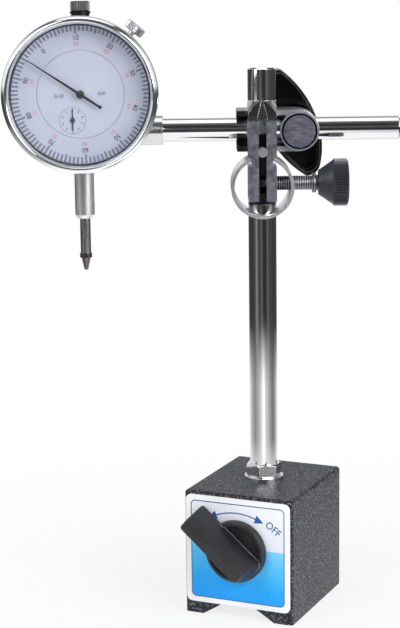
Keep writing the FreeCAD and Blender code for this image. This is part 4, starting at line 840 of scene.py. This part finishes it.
def print_center():
    """The fixed inner disc: its edge line, the plain scale marks and the turn counter's dial."""
    place = dial_place("dial_center")
    edge = bmesh.new()
    band(edge, place, circle(DIVIDE_R), circle(DIVIDE_R - 0.16), 0.0, PRINT)
    mesh_object("dial_edge_line", edge, INK_PALE, "gauge")
    marks = bmesh.new()
    write(marks, place, "0-10", 2.1, (-8.7, -0.7), 0.0, PRINT, 0.05, 0.95)
    write(marks, place, "0.01", 2.1, (8.6, 0.2), 0.0, PRINT, 0.05, 0.95)
    mesh_object("dial_marks", marks, INK_GREY, "gauge")
    hub = joint_at("counter_turn") - DIAL
    centre = (hub.dot(ALONG) / MM, hub.dot(UP) / MM)
    lines = bmesh.new()
    dashes(lines, place, centre, [i * 7.2 for i in range(50)], COUNTER_R - 0.32, COUNTER_R, 0.30)
    dashes(lines, place, centre, [i * 36 for i in range(10)], COUNTER_R - 0.8, COUNTER_R, 0.2)
    mesh_object("counter_ring", lines, INK_GREY, "gauge")
    digits = bmesh.new()
    for i in range(10):
        x, y = spoke(-i * 36)
        spot = (centre[0] + x * COUNTER_DIGIT_R, centre[1] + y * COUNTER_DIGIT_R)
        write(digits, place, str(i), 1.4, spot, 0.0, PRINT, 0.04, 0.9)
    mesh_object("counter_digits", digits, INK_GREY, "gauge")


def hand(name, node, joint, body, angle, tip, tail, root, point, bulb, hub, thickness):
    """A tapered hand with a bulb on its tail, in place of the plainer CAD one.  Root and point are
    half the blade's width, bulb and hub are radii."""
    high = reach(node, FACING, DIAL)[1]
    centre = joint_at(joint)
    at = Place(centre + FACING * ((DIAL - centre).dot(FACING) + high - thickness * MM),
               ALONG * math.cos(math.radians(angle)) - UP * math.sin(math.radians(angle)),
               ALONG * math.sin(math.radians(angle)) + UP * math.cos(math.radians(angle)), FACING)
    bm = bmesh.new()
    slab(bm, at, [(-root, 0), (root, 0), (point, tip), (-point, tip)], -HAND_SHEET, 0.0)
    slab(bm, at, [(-root * 0.8, -tail), (root * 0.8, -tail), (root, 0), (-root, 0)], -HAND_SHEET,
         0.0)
    slab(bm, at, circle(bulb, (0, -tail), 32), -HAND_SHEET, 0.02)
    cap = lathe([(-0.3, 0.0), (-0.3, hub), (thickness * 0.5, hub), (thickness * 0.8, hub * 0.8),
                 (thickness, hub * 0.4), (thickness, 0.0)], at.origin, FACING, 40, closed=False)
    merge(bm, cap)
    made = mesh_object(name, bm, HAND, body)
    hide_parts(node)


print_dial()
print_center()
hand("main_hand_blade", "main_pointer", "main_hand_turn", "main_hand", angle=-56.6, tip=25.0,
     tail=9.3, root=0.55, point=0.16, bulb=0.75, hub=1.65, thickness=1.0)
hand("counter_hand_blade", "small_pointer", "counter_turn", "counter", angle=0.0, tip=4.6,
     tail=3.6, root=0.26, point=0.12, bulb=0.3, hub=0.85, thickness=0.5)

# ------------------------------------------------------------------ label and switch
LABEL_EDGE = 2.3
LABEL_LINE = 0.45
LABEL_ROUND = 2.2
LABEL_SPLIT = 32.0          # height of the line between the pale and the blue field
LABEL_TOP = 52.0
LABEL_FILM = 0.015          # height of the picture, with the arrow and OFF on it
LABEL_INK = 0.03
ARROW_AT = (-0.6, 22.4)     # middle of the arrow's arc
ARROW_R = 24.9
ARROW_FROM = 69.0
ARROW_TO = 111.4
ARROW_HALF = 0.27
ARROW_HEAD_HALF = 1.9
ARROW_HEAD_LONG = 4.0
ARROW_STEPS = 32
KNOB_Z = 31.0
KNOB_BACK = 30.9
KNOB_RIM_R = 13.5
KNOB_DEPTH = 4.0
HANDLE_TURN = 139.0
HANDLE_RISE = 13.0
HANDLE_HALF = 3.15
HANDLE_LONG_END = 23.0
HANDLE_SHORT_END = -10.2


def rounded(left, right, low, high, radius, count=8):
    """An upright rectangle with round corners."""
    corners = ((right - radius, high - radius, 0), (left + radius, high - radius, 90),
               (left + radius, low + radius, 180), (right - radius, low + radius, 270))
    points = []
    for x, y, start in corners:
        for i in range(count + 1):
            angle = math.radians(start + 90 * i / count)
            points.append((x + radius * math.cos(angle), y + radius * math.sin(angle)))
    return points


def label_white():
    """White label card with a little grime in faint clouds."""
    mat = Mat("label_white", Specular_IOR_Level=0.4, Roughness=0.35)
    clouds = mat.noise(140.0, 4.0, 0.6)
    mat.colour(mat.ramp(clouds, [(0.35, (0.94, 0.945, 0.96, 1)), (0.7, (0.985, 0.985, 0.99, 1))]))
    mat.roughness(mat.span(clouds, 0.3, 0.7, 0.28, 0.42))
    mat.soften(0.12 * MM)
    return mat.material


def label_print():
    """The label's picture: pale above, sky blue deepening to the bottom below."""
    mat = Mat("label_print", Specular_IOR_Level=0.25, Roughness=0.3)
    height = mat.node("SeparateXYZ", {0: mat.coords()}).outputs[2]
    along = mat.node("SeparateXYZ", {0: mat.coords()}).outputs[0]
    slant = mat.math("ADD", height, mat.math("MULTIPLY", along, 0.10))
    blue = mat.ramp(mat.span(slant, 0.006, LABEL_SPLIT * MM + 0.002, 0.0, 1.0),
                    [(0.0, (0.004, 0.33, 0.93, 1)), (0.35, (0.010, 0.43, 1.0, 1)),
                     (0.75, (0.09, 0.56, 1.0, 1)), (1.0, (0.22, 0.66, 1.0, 1))])
    pale = mat.ramp(mat.span(height, LABEL_SPLIT * MM, LABEL_TOP * MM, 0.0, 1.0),
                    [(0.0, (0.82, 0.85, 0.95, 1)), (1.0, (0.92, 0.93, 0.97, 1))])
    upper = mat.span(height, LABEL_SPLIT * MM - 0.00006, LABEL_SPLIT * MM + 0.00006, 0.0, 1.0)
    fibre = mat.noise(700.0, 3.0)
    picture = mat.blend(upper, blue, pale)
    mat.colour(mat.blend(mat.span(fibre, 0.3, 0.8, 0.0, 0.02), picture, grey(0.95)))
    mat.roughness(mat.span(fibre, 0.3, 0.7, 0.24, 0.36))
    return mat.material


def make_label():
    """The label's print: its picture, frame line, arrow and OFF."""
    low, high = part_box("label_plate")
    front = -low.y / MM
    place = Place(Vector((0, -front * MM, 0)), Vector((1, 0, 0)), UP, Vector((0, -1, 0)))
    left, right, bottom, top = low.x / MM, high.x / MM, low.z / MM, high.z / MM
    inset = LABEL_EDGE
    outer = rounded(left + inset, right - inset, bottom + inset, top - inset, LABEL_ROUND)
    inset += LABEL_LINE
    inner = rounded(left + inset, right - inset, bottom + inset, top - inset,
                    LABEL_ROUND - LABEL_LINE)
    field = bmesh.new()
    slab(field, place, inner, 0.0, LABEL_FILM)
    mesh_object("label_picture", field, label_print(), "base")
    frame_line = bmesh.new()
    band(frame_line, place, outer, inner, 0.0, PRINT)
    mesh_object("label_frame_line", frame_line, INK_LABEL, "base")
    arrow = bmesh.new()
    outer_line, inner_line = [], []
    for i in range(ARROW_STEPS + 1):
        angle = math.radians(ARROW_FROM + (ARROW_TO - ARROW_FROM) * i / ARROW_STEPS)
        for line, side in ((outer_line, ARROW_HALF), (inner_line, -ARROW_HALF)):
            line.append(((ARROW_R + side) * math.cos(angle) + ARROW_AT[0],
                         (ARROW_R + side) * math.sin(angle) + ARROW_AT[1]))
    slab(arrow, place, outer_line + inner_line[::-1], LABEL_FILM, LABEL_INK)
    for angle, way in ((ARROW_FROM, -1), (ARROW_TO, 1)):
        turn = math.radians(angle)
        along = (-math.sin(turn) * way, math.cos(turn) * way)
        out = (math.cos(turn), math.sin(turn))
        at = (ARROW_R * out[0] + ARROW_AT[0], ARROW_R * out[1] + ARROW_AT[1])
        points = [(at[0] + out[0] * ARROW_HEAD_HALF, at[1] + out[1] * ARROW_HEAD_HALF),
                  (at[0] - out[0] * ARROW_HEAD_HALF, at[1] - out[1] * ARROW_HEAD_HALF),
                  (at[0] + along[0] * ARROW_HEAD_LONG, at[1] + along[1] * ARROW_HEAD_LONG)]
        slab(arrow, place, points, LABEL_FILM, LABEL_INK)
    mesh_object("label_arrow", arrow, INK_ARROW, "base")
    words = bmesh.new()
    write(words, place, "OFF", 4.6, (16.5, 42.1), -37.0, LABEL_INK, 0.05, 0.95)
    mesh_object("label_off", words, INK_TEAL, "base")


def make_knob():
    """The moulded switch knob: a dished flange and a tall drafted handle across it."""
    centre = Vector((0, -KNOB_BACK * MM, KNOB_Z * MM))
    out = Vector((0, -1, 0))
    rim = KNOB_RIM_R
    front = KNOB_DEPTH
    bm = lathe([(0.0, 0.0), (0.0, rim - 0.3), (0.3, rim), (front - 0.9, rim),
                (front - 0.35, rim - 0.15), (front - 0.05, rim - 0.5), (front, rim - 0.9),
                (front - 0.1, rim - 1.4), (front - 1.0, rim - 1.9), (front - 1.1, rim - 2.4),
                (front - 1.1, 0.0)], centre, out, 128, closed=False)
    turn = math.radians(HANDLE_TURN)
    along = Vector((math.cos(turn), 0, math.sin(turn)))
    across = Vector((math.sin(turn), 0, -math.cos(turn)))
    place = Place(centre + out * KNOB_DEPTH * MM, along, across, out)
    # height, how much wider and longer than the handle's top, and the corners' radius
    levels = ((-1.3, 1.9, 1.0, 1.4), (0.6, 1.75, 0.9, 1.4), (HANDLE_RISE - 0.9, 0.12, 0.1, 1.5),
              (HANDLE_RISE - 0.35, 0.0, 0.0, 1.4), (HANDLE_RISE - 0.08, -0.22, -0.22, 1.2),
              (HANDLE_RISE, -0.55, -0.55, 0.9))
    rows = []
    for height, wider, longer, radius in levels:
        half = HANDLE_HALF + wider
        outline = rounded(HANDLE_SHORT_END - longer * 2.2, HANDLE_LONG_END + longer, -half, half,
                          radius, 6)
        rows.append([bm.verts.new(place(x, y, height)) for x, y in outline])
    for first, second in zip(rows, rows[1:]):
        skin(bm, first, second, len(first))
    bm.faces.new(rows[-1])
    bm.faces.new(rows[0][::-1])
    made = mesh_object("switch_knob_moulding", bm, KNOB_PLASTIC, "switch", 35.0)
    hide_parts("switch_knob")


dress("label_plate", label_white())
make_label()
make_knob()

# ------------------------------------------------------------------ bezel and knurled pieces
BEZEL_R = 31.3
BEZEL_NECK_R = 29.4
BEZEL_WINDOW_R = 28.2
BEZEL_SEAT_R = 27.6
RIPPLE_STEPS = 6            # faces round each ridge of a knurl
LOCK_R = 4.1
LOCK_RIDGE = 0.2
LOCK_HEAD = 3.4


def knurled(name, node, way, profile, ripples, material, body):
    """A turned piece with knurling, in place of a CAD node; heights run from the node's low end."""
    low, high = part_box(node)
    middle = (low + high) / 2
    start = middle + way * reach(node, way, middle)[0]
    bm = lathe(profile, start, way, ripples * RIPPLE_STEPS, ripples, closed=False)
    made = mesh_object(name, bm, material, body, 25.0)
    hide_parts(node)


def make_bezel():
    """The polished rim, rounded outside and sloped down to the crystal inside."""
    back, front = (value / MM for value in reach("bezel", FACING, DIAL))
    outside = [(back, BEZEL_SEAT_R), (back, 29.2), (back + 0.2, BEZEL_NECK_R),
               (back + 2.4, BEZEL_NECK_R), (back + 3.0, 30.4), (back + 3.5, 31.1),
               (back + 4.2, BEZEL_R), (front - 2.6, BEZEL_R), (front - 1.7, 31.15),
               (front - 0.95, 30.75), (front - 0.4, 30.25), (front - 0.1, 29.75), (front, 29.4)]
    inside = [(front - 0.12, 29.1), (front - 0.5, 28.75), (front - 1.5, 28.3),
              (front - 1.7, BEZEL_WINDOW_R), (front - 3.4, BEZEL_WINDOW_R),
              (front - 3.4, BEZEL_SEAT_R)]
    bm = lathe(outside + inside, DIAL, FACING, 160)
    made = mesh_object("bezel_rim", bm, POLISHED, "bezel_group", 50.0)
    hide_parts("bezel")


make_bezel()

lock_way = joint_axis("bezel_lock_turn")
if (joint_at("bezel_lock_turn") - DIAL).dot(lock_way) < 0:
    lock_way = -lock_way
lock_reach = reach("bezel_lock", lock_way)
shank = (lock_reach[1] - lock_reach[0]) / MM - LOCK_HEAD
knurled("fine_screw_knurl", "fine_screw_head", ALONG,
        [(5.8, 0.0), (5.8, 3.05), (0.0, 3.05), (0.0, 5.4), (0.5, 5.6), (5.3, 8.9), (5.8, 9.1),
         (6.0, 9.4), (6.6, HEAD_R, HEAD_RIDGE), (12.0, HEAD_R, HEAD_RIDGE), (12.5, 9.2),
         (12.6, 8.8), (12.2, 7.6), (12.2, 0.0)], 52, KNURL_HEAD, "fine_adjuster")
knurled("lock_screw_knurl", "bezel_lock", lock_way,
        [(0.0, 0.0), (0.0, 1.25), (shank, 1.25), (shank, 3.6), (shank + 0.4, LOCK_R, LOCK_RIDGE),
         (shank + 3.0, LOCK_R, LOCK_RIDGE), (shank + LOCK_HEAD, 3.6), (shank + LOCK_HEAD, 0.0)],
        40, KNURL_BRIGHT, "bezel_screw")
knurled("dust_cap_knurl", "dust_cap", UP,
        [(3.1, 0.0), (3.1, 3.05), (0.0, 3.05), (0.0, 3.4), (0.4, CAP_R, CAP_RIDGE),
         (3.5, CAP_R, CAP_RIDGE), (4.0, 3.3), (4.0, 0.0)], 34, KNURL_CAP, "gauge")

bpy.context.scene.view_settings.view_transform = "Standard"
